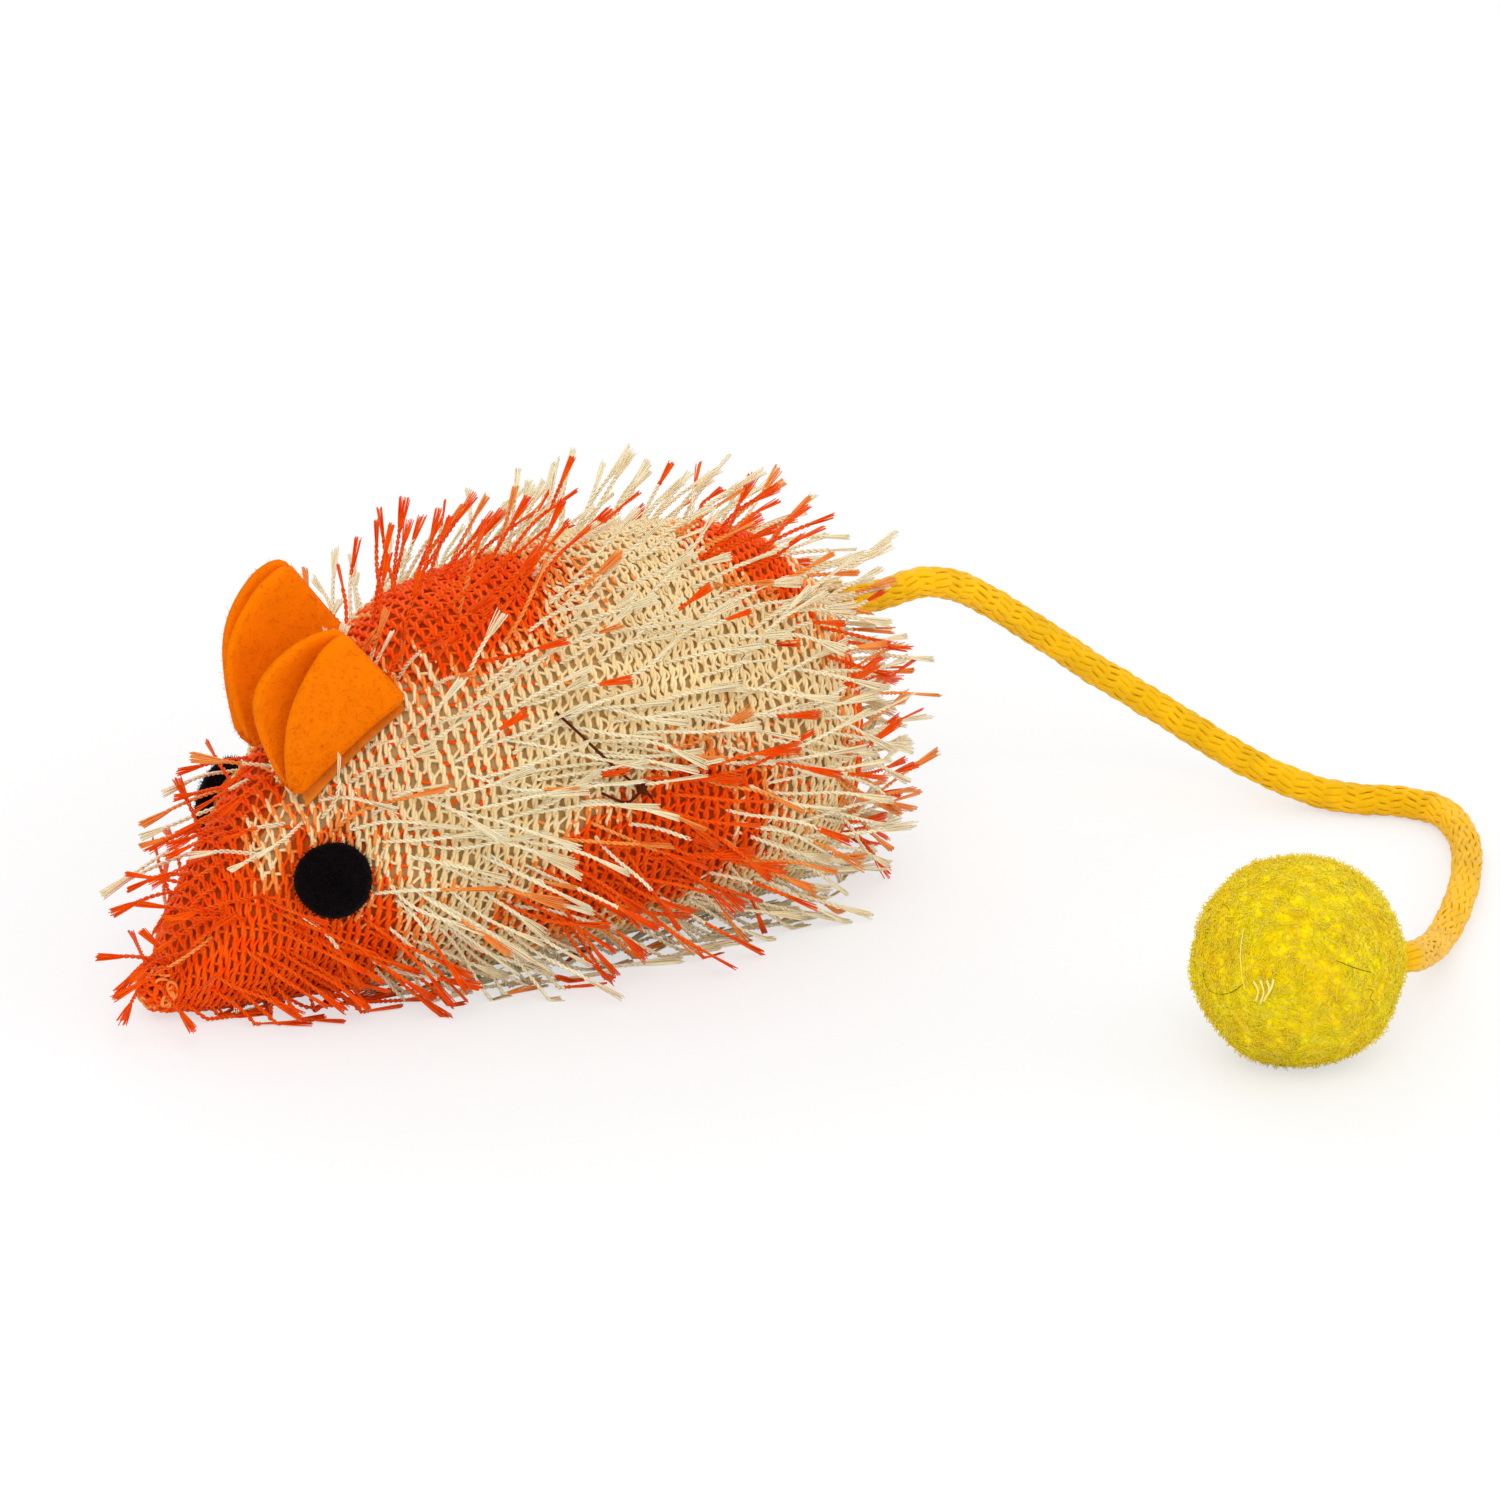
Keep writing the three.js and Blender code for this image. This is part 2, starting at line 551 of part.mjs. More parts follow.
// A patch of eyelash knit over rows of half rings and over columns, with a tuft in most cells. Windows are
// blocks of cells that are left out.
function tuftPatch(fromRing, toRing, fromColumn, toColumn, windows = []) {
  const rows = (toRing - fromRing) * ROWS_PER_RING;
  const columns = toColumn - fromColumn;
  const points = [];
  const triangles = [];
  const index = new Map();
  const isIn = (value, from, to) => value >= from && value < to;
  const isKept = (c, r) =>
    isIn(c, 0, columns) &&
    isIn(r, 0, rows) &&
    !windows.some(
      ([ring0, ring1, column0, column1]) =>
        isIn(fromRing + r / ROWS_PER_RING, ring0, ring1) && isIn(fromColumn + c, column0, column1),
    );
  const skin = (c, r, side) =>
    skinPoint(fromRing + r / ROWS_PER_RING, turnOf(fromColumn + c), side * PILE_BACKING);
  const at = (c, r, side) => {
    const key = `${c} ${r} ${side}`;
    if (!index.has(key)) {
      const p = skin(c, r, side);
      const drawIn = (isEdge, column, row) => {
        if (isEdge) p.add(skin(column, row, side).sub(p).setLength(PATCH_GAP / 2));
      };
      drawIn(c === 0, 1, r);
      drawIn(c === columns, columns - 1, r);
      drawIn(r === 0, c, 1);
      drawIn(r === rows, c, rows - 1);
      index.set(key, points.push(p) - 1);
    }
    return index.get(key);
  };
  for (let r = 0; r < rows; r++)
    for (let c = 0; c < columns; c++) {
      if (!isKept(c, r)) continue;
      const [a, b, d, e] = [at(c, r, 0), at(c + 1, r, 0), at(c + 1, r + 1, 0), at(c, r + 1, 0)];
      const [f, g, h, i] = [at(c, r, 1), at(c + 1, r, 1), at(c + 1, r + 1, 1), at(c, r + 1, 1)];
      const [pa, pb, , pe] = [a, b, d, e].map((corner) => points[corner]);
      const isCrowded = Math.min(pa.distanceTo(pb), pa.distanceTo(pe)) < TUFT_PITCH;
      const isBare = isCrowded ? (r + c) % 2 === 1 : (2 * r + 3 * c) % TUFT_MISSING === 0;
      const uneven = Math.sin(7 * r + 3 * c);
      if (isBare || !growTuft(points, triangles, [a, b, d, e], uneven)) {
        triangles.push([a, b, d], [a, d, e]);
      }
      triangles.push([f, h, g], [f, i, h]);
      if (!isKept(c, r - 1)) triangles.push([b, a, f], [b, f, g]);
      if (!isKept(c + 1, r)) triangles.push([d, b, g], [d, g, h]);
      if (!isKept(c, r + 1)) triangles.push([e, d, h], [e, h, i]);
      if (!isKept(c - 1, r)) triangles.push([a, e, i], [a, i, f]);
    }
  return surface(points, triangles);
}

// Knit sleeve: gathered to a knob at the nose and round the tail at the rump

const knitMaterial = finish(CREAM, 0.9);
const rustMaterial = finish(RUST_ORANGE, 0.9);
const threadMaterial = finish(THREAD_BROWN, 0.7);
const cordMaterial = finish(TAIL_AMBER, 0.45);

const NOSE_RING = 2; // where the sleeve's mouth is drawn together
const LINER_RING = 3; // where the liner begins
const FACE_RING = 4; // from here to the next ring the eyes and ears are set
const BACK_ROWS = 25; // from the nose tip, in rows of tufts: those of the back end here, before the tail
const FLANK_ROWS = 29;
const BACK_RING = BACK_ROWS / ROWS_PER_RING;
const RUMP_RING = FLANK_ROWS / ROWS_PER_RING;
const CHIN_COLUMN = 8; // tufts grow from the top of the nose down to this column
const BELLY_COLUMN = 9; // those of the flanks grow down to this one
const BACK_COLUMN = 4; // and those of the back down to this one

const anchorKnot = skinPoint(tailRing, 0, STUFFING_DEPTH + KNOT_RADIUS);
const tailHole = rod(
  anchorKnot,
  tailRoot.clone().addScaledVector(tailNormal, OVERRUN),
  CORD_CORE_DIAMETER / 2 + CLEARANCE,
  CORD_SIDES,
);

const noseKnob = new THREE.Vector3(
  NOSE_KNOB_STATION - BODY_LENGTH / 2,
  0,
  formPoint(NOSE_RING, Math.PI / 2).z,
);
const sleeve = solid(shell(KNIT_DEPTH, KNIT_DEPTH + KNIT_THICKNESS, NOSE_RING, COLUMNS));
const knittedBody = sleeve.add(ball(noseKnob, NOSE_KNOB_RADIUS, BALL_SIDES)).subtract(tailHole);
add("knit_cover", shape(knittedBody), knitMaterial);

// The block of cells that a dab of glue on the left side takes up: its first and last ring and column
function windowOf(from, to, degrees, halfWidth) {
  const ring = ringAt(from);
  const turn = THREE.MathUtils.degToRad(degrees);
  const axis = formPoint(ring, Math.PI / 2).setY(0);
  const spread = THREE.MathUtils.radToDeg(halfWidth / formPoint(ring, turn).distanceTo(axis));
  const columnOf = (angle) => (angle * COLUMNS) / 360;
  return [
    Math.floor(ring * ROWS_PER_RING) / ROWS_PER_RING,
    Math.ceil(ringAt(to) * ROWS_PER_RING) / ROWS_PER_RING,
    Math.floor(columnOf(degrees - spread)),
    Math.ceil(columnOf(degrees + spread)),
  ];
}
const eyeReach = EYE_GLUE_RADIUS + CLEARANCE;
const earReach = EAR_GLUE_HALF_WIDTH + CLEARANCE;
const eyeWindow = windowOf(EYE_STATION - eyeReach, EYE_STATION + eyeReach, EYE_ANGLE, eyeReach);
const earEnd = EAR_STATION + EAR_RUN + CLEARANCE;
const earWindows = Object.values(SIDES).map((side) =>
  windowOf(EAR_STATION, earEnd, earAngle(side), earReach),
);
const mirrored = ([ring0, ring1, column0, column1]) => [ring0, ring1, -column1, -column0];

add("eyelash_tufts_nose", tuftPatch(NOSE_RING, FACE_RING, -CHIN_COLUMN, CHIN_COLUMN), rustMaterial);
add(
  "eyelash_tufts_back",
  tuftPatch(FACE_RING + 1, BACK_RING, -BACK_COLUMN, BACK_COLUMN, earWindows),
  knitMaterial,
);
add(
  "eyelash_tufts_left",
  tuftPatch(FACE_RING, RUMP_RING, BACK_COLUMN, BELLY_COLUMN, [eyeWindow]),
  knitMaterial,
);
add(
  "eyelash_tufts_right",
  tuftPatch(FACE_RING, RUMP_RING, -BELLY_COLUMN, -BACK_COLUMN, [mirrored(eyeWindow)]),
  knitMaterial,
);

// The thread that gathers the sleeve at the nose runs inside it, behind the knob
const noseThreadDepth = KNIT_DEPTH + KNIT_THICKNESS + CLEARANCE + THREAD_DIAMETER / 2;
const noseLoop = Array.from({ length: LOOP_POINTS }, (_, i) => {
  const turn = turnOf(i, LOOP_POINTS);
  const behind = skinPoint(NOSE_RING + 1, turn, noseThreadDepth);
  return skinPoint(NOSE_RING, turn, noseThreadDepth).lerp(behind, NOSE_THREAD_SHARE);
});
add("nose_gather_thread", threadRing(noseLoop, THREAD_DIAMETER), threadMaterial);

// The one at the rump lies on the sleeve, round the tail's root
const rumpCentre = skinPoint(tailRing, 0, KNIT_DEPTH - CLEARANCE - THREAD_DIAMETER / 2);
const rumpAcross = new THREE.Vector3(0, 1, 0);
const rumpUp = tailNormal.clone().cross(rumpAcross);
const rumpLoop = circle(rumpCentre, rumpAcross, rumpUp, RUMP_RING_RADIUS);
add("rump_gather_thread", threadRing(rumpLoop, THREAD_DIAMETER), threadMaterial);

// Liner bag, open at the mouth through which it is filled

const linerBag = solid(shell(LINER_DEPTH, LINER_DEPTH + LINER_THICKNESS, LINER_RING, INNER_COLUMNS));
add("liner_bag", shape(linerBag.subtract(tailHole)), finish(LINER_TAN, 0.9));

// Catnip sachet: two sheets sealed at the rim, which bulge round the dried leaf

const sachetCentre = new THREE.Vector3((SACHET_STATION_SHARE - 0.5) * BODY_LENGTH, 0, SACHET_HEIGHT);
const sachetHalfLength = SACHET_LENGTH / 2 - SACHET_FLANGE;
const sachetHalfWidth = SACHET_WIDTH / 2 - SACHET_FLANGE;
const sachetBulge = SACHET_DEPTH / 2 - SACHET_SHEET - CLEARANCE / 2;
const hollowShares = [-0.75, -0.4, 0, 0.4, 0.75];

// The lines of a grid over the sachet: over its hollow, out to the seam, and over the sealed rim with
// some margin
const hollowLines = (half) => hollowShares.map((share) => share * half);
const sealedLines = (half, margin) => {
  const rim = half + SACHET_FLANGE + margin;
  return [-rim, -half, ...hollowLines(half), half, rim];
};

// The height of the hollow's wall above the sachet's middle
function sachetWall(x, y) {
  const lengthwise = Math.max(0, 1 - (x / sachetHalfLength) ** 2);
  const crosswise = Math.max(0, 1 - (y / sachetHalfWidth) ** 2);
  return CLEARANCE / 2 + sachetBulge * lengthwise * crosswise;
}

// A slab over the sachet's grid: top and bottom give the height of each face over a point
function sachetSlab(xs, ys, top, bottom) {
  return slab(xs.length - 1, ys.length - 1, (c, r, side) => {
    const height = side === 0 ? top(xs[c], ys[r]) : bottom(xs[c], ys[r]);
    return new THREE.Vector3(xs[c], ys[r], height).add(sachetCentre);
  });
}

const sheetXs = sealedLines(sachetHalfLength, 0);
const sheetYs = sealedLines(sachetHalfWidth, 0);
const sheetMaterial = finish(FIBRE_WHITE, 0.8);
const sheetOuter = (x, y) => sachetWall(x, y) + SACHET_SHEET;
add("sachet_top_sheet", sachetSlab(sheetXs, sheetYs, sheetOuter, sachetWall), sheetMaterial);
add(
  "sachet_bottom_sheet",
  sachetSlab(sheetXs, sheetYs, (x, y) => -sachetWall(x, y), (x, y) => -sheetOuter(x, y)),
  sheetMaterial,
);
const leafTop = (x, y) => sachetWall(x, y) - CLEARANCE;
add(
  "dried_catnip",
  sachetSlab(hollowLines(sachetHalfLength), hollowLines(sachetHalfWidth), leafTop, (x, y) => -leafTop(x, y)),
  finish(CATNIP_GREEN, 0.95),
);

// Stuffing: two wads, one on each side of the sachet

const envelope = (x, y) => sheetOuter(x, y) + CLEARANCE;
const sachetRoom = solid(
  sachetSlab(
    sealedLines(sachetHalfLength, CLEARANCE),
    sealedLines(sachetHalfWidth, CLEARANCE),
    envelope,
    (x, y) => -envelope(x, y),
  ),
);
const wad = solid(plug(STUFFING_DEPTH, LINER_RING, INNER_COLUMNS))
  .subtract(sachetRoom)
  .subtract(ball(anchorKnot, KNOT_RADIUS + CLEARANCE, BALL_SIDES));
for (const [name, side] of [["stuffing_upper", 1], ["stuffing_lower", -1]]) {
  const half = new THREE.BoxGeometry(BODY_LENGTH, BODY_WIDTH, BODY_HEIGHT);
  half.translate(0, 0, SACHET_HEIGHT + (side * (BODY_HEIGHT + CLEARANCE)) / 2);
  add(name, shape(wad.intersect(solid(half))), finish(FIBRE_WHITE, 0.95));
}

// Eyes and ears, each on its dab of glue

const DISC_SIDES = 16;
const glueMaterial = finish(GLUE_CLEAR, 0.4);
const eyeMaterial = finish(FELT_BLACK, 0.8);
const earMaterial = finish(EAR_ORANGE, 0.85);
const eyeRadius = EYE_DIAMETER / 2;
const eyeProfile = [
  new THREE.Vector2(0, 0),
  new THREE.Vector2(eyeRadius - EYE_EDGE, 0),
  new THREE.Vector2(eyeRadius, EYE_EDGE),
  new THREE.Vector2(eyeRadius, EYE_THICKNESS - 2 * EYE_EDGE),
  new THREE.Vector2(eyeRadius - EYE_EDGE, EYE_THICKNESS - EYE_EDGE),
  new THREE.Vector2(0, EYE_THICKNESS),
];
const glueDab = (radius, { ring, turn, normal }) =>
  placed(
    new THREE.CylinderGeometry(radius, radius, GLUE_THICKNESS, DISC_SIDES),
    skinPoint(ring, turn, glueTop + GLUE_THICKNESS / 2),
    normal,
  );

const EAR_ROWS = 6;

function ear(side) {
  const last = earSection.length - 1;
  const at = (c, r) => {
    const row = THREE.MathUtils.clamp(r, 0, EAR_ROWS);
    return earPoint(side, earSection[THREE.MathUtils.clamp(c, 0, last)], row / EAR_ROWS);
  };
  return slab(last, EAR_ROWS, (c, r, face) => {
    const across = at(c + 1, r).sub(at(c - 1, r));
    const along = at(c, r + 1).sub(at(c, r - 1));
    const outward = across.cross(along).normalize();
    return at(c, r).addScaledVector(outward, ((face === 0 ? 1 : -1) * FELT_THICKNESS) / 2);
  });
}

// A bead of glue under the fold of an ear
function earBead(side) {
  const widthShares = [-1, 0, 1];
  const rows = 3;
  return slab(widthShares.length - 1, rows, (c, r, face) => {
    const ring = earRing(r / rows);
    const out = formPoint(ring, earTurn(side));
    const spread = (widthShares[c] * EAR_GLUE_HALF_WIDTH) / Math.hypot(out.y, out.z - SACHET_HEIGHT);
    return skinPoint(ring, earTurn(side) + spread, glueTop + face * GLUE_THICKNESS);
  });
}

for (const [name, side] of Object.entries(SIDES)) {
  const eye = eyeSeats[name];
  const dot = new THREE.LatheGeometry(eyeProfile, DISC_SIDES);
  add(`${name}_eye`, placed(dot, eye.back, eye.normal), eyeMaterial);
  add(`${name}_eye_glue`, glueDab(EYE_GLUE_RADIUS, eye), glueMaterial);
  add(`${name}_ear`, ear(side), earMaterial);
  add(`${name}_ear_glue`, earBead(side), glueMaterial);
}

// Tail: knotted inside the liner, and tied into the pompom

const anchorTop = tailRoot.clone().addScaledVector(tailNormal, -CORD_DIAMETER / 2 - CLEARANCE);
const anchorStub = rod(anchorKnot, anchorTop, CORD_CORE_DIAMETER / 2, CORD_SIDES);
add("tail_anchor_knot", shape(ball(anchorKnot, KNOT_RADIUS, BALL_SIDES).add(anchorStub)), cordMaterial);

const cordBody = solid(cord(tailPoints, CORD_DIAMETER, CORD_STEPS, CORD_SIDES))
  .add(ball(tailRoot, CORD_DIAMETER / 2, CORD_SIDES))
  .add(ball(tailEnd, CORD_DIAMETER / 2, CORD_SIDES));
add("tail_cord", shape(cordBody), cordMaterial);

const pompomMaterial = finish(POMPOM_YELLOW, 0.95);
const pileSegments = [22, 14]; // round and over
const pile = new THREE.SphereGeometry(POMPOM_DIAMETER / 2, ...pileSegments);
const pilePoints = pile.getAttribute("position");
for (let i = 0; i < pilePoints.count; i++) {
  const p = new THREE.Vector3().fromBufferAttribute(pilePoints, i);
  const way = p.clone().normalize();
  const lump = way.toArray().reduce((product, v, axis) => product * Math.sin(v * POMPOM_WAVES[axis]), 1);
  p.setLength(POMPOM_DIAMETER / 2 + POMPOM_LUMP * lump).add(pompomCentre);
  p.z = Math.max(p.z, 0);
  pilePoints.setXYZ(i, ...p.toArray());
}

const toTail = tailEnd.clone().sub(pompomCentre).normalize();
const pileEdge = pompomCentre.clone().addScaledVector(toTail, POMPOM_DIAMETER / 2);
const pileOpening = pompomCentre.clone().addScaledVector(toTail, POMPOM_DIAMETER / 2 + OVERRUN);
const grooveEnd = (side) =>
  pompomCentre.clone().addScaledVector(toTail, side * (BINDING_DIAMETER / 2 + CLEARANCE));
const pompomSolid = solid(pile)
  .subtract(ball(pompomCentre, KNOT_RADIUS + CLEARANCE, BALL_SIDES))
  .subtract(rod(pompomCentre, pileOpening, CORD_CORE_DIAMETER / 2 + CLEARANCE, CORD_SIDES))
  .subtract(rod(grooveEnd(-1), grooveEnd(1), BINDING_RADIUS + BINDING_DIAMETER / 2 + CLEARANCE, DISC_SIDES));
add("pompom", shape(pompomSolid), pompomMaterial);
const endStub = rod(pompomCentre, pileEdge, CORD_CORE_DIAMETER / 2, CORD_SIDES);
add("tail_end_knot", shape(ball(pompomCentre, KNOT_RADIUS, BALL_SIDES).add(endStub)), cordMaterial);

const bindingAcross = new THREE.Vector3(0, 0, 1).cross(toTail).normalize();
const bindingUp = toTail.clone().cross(bindingAcross);
const bindingLoop = circle(pompomCentre, bindingAcross, bindingUp, BINDING_RADIUS);
add("pompom_binding", threadRing(bindingLoop, BINDING_DIAMETER), pompomMaterial);

export default mouse;
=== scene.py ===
# A catnip mouse: a stuffed cat toy in an eyelash-knit sleeve, with felt ears and eyes, and a braided cord
# tail that ends in a pompom. Metres, +Z up. The nose points along -X and the left side is -Y.
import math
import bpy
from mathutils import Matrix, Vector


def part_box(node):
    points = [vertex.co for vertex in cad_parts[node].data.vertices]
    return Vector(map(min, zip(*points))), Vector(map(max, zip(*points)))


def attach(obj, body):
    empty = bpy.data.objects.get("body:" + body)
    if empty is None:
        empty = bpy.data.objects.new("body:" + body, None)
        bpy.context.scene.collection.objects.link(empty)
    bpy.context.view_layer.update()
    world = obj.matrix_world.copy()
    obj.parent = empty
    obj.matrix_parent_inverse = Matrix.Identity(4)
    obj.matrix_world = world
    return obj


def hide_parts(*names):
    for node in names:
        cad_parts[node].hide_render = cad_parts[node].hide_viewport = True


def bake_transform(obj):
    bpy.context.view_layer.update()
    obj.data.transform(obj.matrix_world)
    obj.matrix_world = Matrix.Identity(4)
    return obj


bl_info = {
    "name": "Catnip Mouse",
    "version": (1, 0, 0),
    "blender": (4, 5, 0),
    "location": "View3D > Sidebar > Mouse",
    "description": "Builds a knitted catnip mouse round its fixed frame",
    "category": "Object",
}

import bpy
import numpy as np
from bpy.props import FloatProperty, FloatVectorProperty, IntProperty, PointerProperty
from mathutils import Vector

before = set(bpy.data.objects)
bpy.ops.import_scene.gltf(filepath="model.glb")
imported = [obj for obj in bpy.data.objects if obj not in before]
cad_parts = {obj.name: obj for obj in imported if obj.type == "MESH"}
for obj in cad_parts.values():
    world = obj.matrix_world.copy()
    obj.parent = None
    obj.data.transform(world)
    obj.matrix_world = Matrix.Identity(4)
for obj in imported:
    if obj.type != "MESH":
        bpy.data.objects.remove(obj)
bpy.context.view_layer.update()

MM = 0.001
SIDES = {"left": 1, "right": -1}
ANY_PHASE = (0, 6.3)  # where a wave starts, by chance, in radians

# The body's form, as in the frame: shares of its length, of half its width, and of its height for its top
# and bottom lines
BODY_LENGTH = 79 * MM
BODY_WIDTH = 40 * MM
BODY_HEIGHT = 41 * MM
PROFILE_SHARES = (
    (0.0, 0.0, 0.045, 0.045),
    (0.006, 0.095, 0.102, 0.01),
    (0.03, 0.19, 0.2, -0.005),
    (0.08, 0.34, 0.363, -0.02),
    (0.145, 0.47, 0.537, -0.028),
    (0.22, 0.6, 0.693, -0.035),
    (0.31, 0.765, 0.851, -0.045),
    (0.41, 0.905, 0.955, -0.05),
    (0.52, 0.975, 0.99, -0.05),
    (0.63, 1.0, 1.0, -0.05),
    (0.74, 1.0, 0.983, -0.048),
    (0.84, 0.945, 0.952, -0.04),
    (0.92, 0.815, 0.882, 0.0),
    (0.968, 0.63, 0.785, 0.09),
    (0.992, 0.4, 0.655, 0.21),
    (1.0, 0.0, 0.44, 0.44),
)
RINGS = len(PROFILE_SHARES) - 1
KNIT_DEPTH = 0.7 * MM  # of the sleeve's outer face under the form
LINER_DEPTH = 1.6 * MM
FIRST_RING = 0.6  # that the cloth covers
LAST_RING = RINGS - 0.02
CLOTH_ROWS = 200
CLOTH_COLUMNS = 90
FLANK_COLUMN = 32  # along which the cloth's length is measured

# The tail's route, as in the frame: shares of its reach behind its root and to the side, and how far each
# point is lifted by the rump and by the pompom
TAIL_ROOT = Vector((40.126, 0, 26.948)) * MM
TAIL_REACH = 60 * MM
CORD_DIAMETER = 3.3 * MM
POMPOM_HEIGHT = 10.1 * MM
TAIL_ROUTE_SHARES = (
    (0.0, 0.0, 1.0, 0),
    (0.09, 0.0, 0.992, 0),
    (0.177, 0.0, 1.0, 0),
    (0.253, -0.002, 0.925, 0),
    (0.335, -0.008, 0.777, 0),
    (0.413, -0.023, 0.622, 0),
    (0.488, -0.043, 0.471, 0),
    (0.567, -0.073, 0.324, 0),
    (0.635, -0.122, 0.197, 0),
    (0.697, -0.19, 0.093, 0),
    (0.758, -0.267, 0.026, 0),
    (0.818, -0.323, 0.0, 0),
    (0.878, -0.367, 0.0, 0),
    (0.918, -0.433, 0.0, 0),
    (0.905, -0.533, 0.0, 0),
    (0.842, -0.653, 0.0, 0),
    (0.75, -0.775, 0.0, 0),
    (0.653, -0.88, 0.0, 0.065),
    (0.572, -0.975, 0.0, 0.35),
    (0.517, -1.033, 0.0, 0.55),
    (0.478, -1.073, 0.0, 0.72),
)


# Settings


class MouseColours(bpy.types.PropertyGroup):
    """Colours of the yarns, felts and pile, as they look in daylight"""

    cream: FloatVectorProperty(
        name="Cream yarn", description="Knit and most eyelashes", subtype="COLOR_GAMMA",
        default=(1.0, 0.935, 0.75),
    )
    rust: FloatVectorProperty(
        name="Rust yarn", description="Patches on head, back and flanks", subtype="COLOR_GAMMA",
        default=(1.0, 0.28, 0.015),
    )
    amber: FloatVectorProperty(
        name="Amber yarn", description="Where the dye fades out", subtype="COLOR_GAMMA",
        default=(1.0, 0.66, 0.36),
    )
    liner: FloatVectorProperty(
        name="Liner", description="The bag behind the knit", subtype="COLOR_GAMMA",
        default=(0.92, 0.76, 0.5),
    )
    ear_felt: FloatVectorProperty(
        name="Ear felt", description="Both ears", subtype="COLOR_GAMMA", default=(1.0, 0.5, 0.01),
    )
    eye_felt: FloatVectorProperty(
        name="Eye felt", description="Both eyes", subtype="COLOR_GAMMA", default=(0.07, 0.05, 0.06),
    )
    cord: FloatVectorProperty(
        name="Tail cord", description="Satin braid", subtype="COLOR_GAMMA", default=(1.0, 0.77, 0.09),
    )
    pile: FloatVectorProperty(
        name="Pompom", description="Trimmed pile", subtype="COLOR_GAMMA", default=(1.0, 0.94, 0.05),
    )


class MouseSizes(bpy.types.PropertyGroup):
    """Sizes of the yarns and fibres"""

    stitch_width: FloatProperty(
        name="Stitch width", description="Along the body", default=1.12 * MM, unit="LENGTH",
    )
    stitch_height: FloatProperty(
        name="Stitch height", description="Round the body", default=1.3 * MM, unit="LENGTH",
    )
    yarn: FloatProperty(
        name="Yarn", description="Diameter of the knitting yarn", default=0.4 * MM, unit="LENGTH",
    )
    lash_length: FloatProperty(
        name="Eyelash length", description="Of the middling eyelash", default=10.8 * MM, unit="LENGTH",
    )
    lash_pitch: FloatProperty(
        name="Eyelash pitch", description="Between neighbours", default=2.75 * MM, unit="LENGTH",
    )
    ply: FloatProperty(
        name="Eyelash ply", description="Diameter of one of its two plies", default=0.26 * MM, unit="LENGTH",
    )
    felt: FloatProperty(
        name="Felt", description="Thickness of the ears", default=1.2 * MM, unit="LENGTH",
    )
    pompom_fibres: IntProperty(
        name="Pompom fibres", description="Number of fibre ends in each third", default=7000,
    )
    seed: IntProperty(name="Seed", description="Of everything that lies by chance", default=7)


def sizes():
    return bpy.context.scene.mouse_sizes


def linear(colour):
    """The linear values of a colour as it looks"""
    return tuple(c / 12.92 if c <= 0.04045 else ((c + 0.055) / 1.055) ** 2.4 for c in colour)


def colour(name):
    return linear(getattr(bpy.context.scene.mouse_colours, name))


# Curves and the body's surface


def spline(points, t):
    """Points of a smooth line through given points; t runs from 0 to one less than their number"""
    p = np.asarray(points, float)
    p = np.vstack([2 * p[0] - p[1], p, 2 * p[-1] - p[-2]])
    gaps = np.sum((p[1:] - p[:-1]) ** 2, axis=1) ** 0.25
    t = np.asarray(t, float)
    i = np.clip(t.astype(int), 0, len(points) - 2)
    x0, x1, x2, x3 = p[i], p[i + 1], p[i + 2], p[i + 3]
    d0, d1, d2 = (gaps[i + k][..., None] for k in range(3))
    start = ((x1 - x0) / d0 - (x2 - x0) / (d0 + d1) + (x2 - x1) / d1) * d1
    end = ((x2 - x1) / d1 - (x3 - x1) / (d1 + d2) + (x3 - x2) / d2) * d1
    u = (t - i)[..., None]
    return (
        x1 + start * u + (-3 * x1 + 3 * x2 - 2 * start - end) * u**2
        + (2 * x1 - 2 * x2 + start + end) * u**3
    )


def unit(v):
    return v / np.maximum(np.linalg.norm(v, axis=-1, keepdims=True), 1e-12)


def ramp(value, start, over):
    """0 up to start and 1 from its other end; it falls instead where over is negative"""
    return np.clip((value - start) / over, 0, 1)


def form_point(ring, turn):
    """A point of the smooth body: ring runs from the nose tip to the rump, turn from the back to the left"""
    ring, turn = np.broadcast_arrays(np.clip(ring, 0, RINGS), turn)
    rows = np.array(PROFILE_SHARES)
    along, width, top = np.moveaxis(spline(rows[:, :3], ring), -1, 0)
    bottom = spline(rows[:, [0, 1, 3]], ring)[..., 2]
    return np.stack(
        [
            (along - 0.5) * BODY_LENGTH,
            -np.sin(turn) * width * BODY_WIDTH / 2,
            ((top + bottom) + np.cos(turn) * (top - bottom)) * BODY_HEIGHT / 2,
        ],
        axis=-1,
    )


def form_normal(ring, turn):
    """The way out of the body"""
    step = 0.05
    ring = np.clip(ring, step, RINGS - step)
    along = form_point(ring + step, turn) - form_point(ring - step, turn)
    round_body = form_point(ring, turn + step) - form_point(ring, turn - step)
    return unit(np.cross(round_body, along))


def skin_point(ring, turn, depth):
    """A point some depth under the form, and no lower than the floor"""
    p = form_point(ring, turn) - form_normal(ring, turn) * np.asarray(depth)[..., None]
    p[..., 2] = np.maximum(p[..., 2], depth - KNIT_DEPTH)
    return p


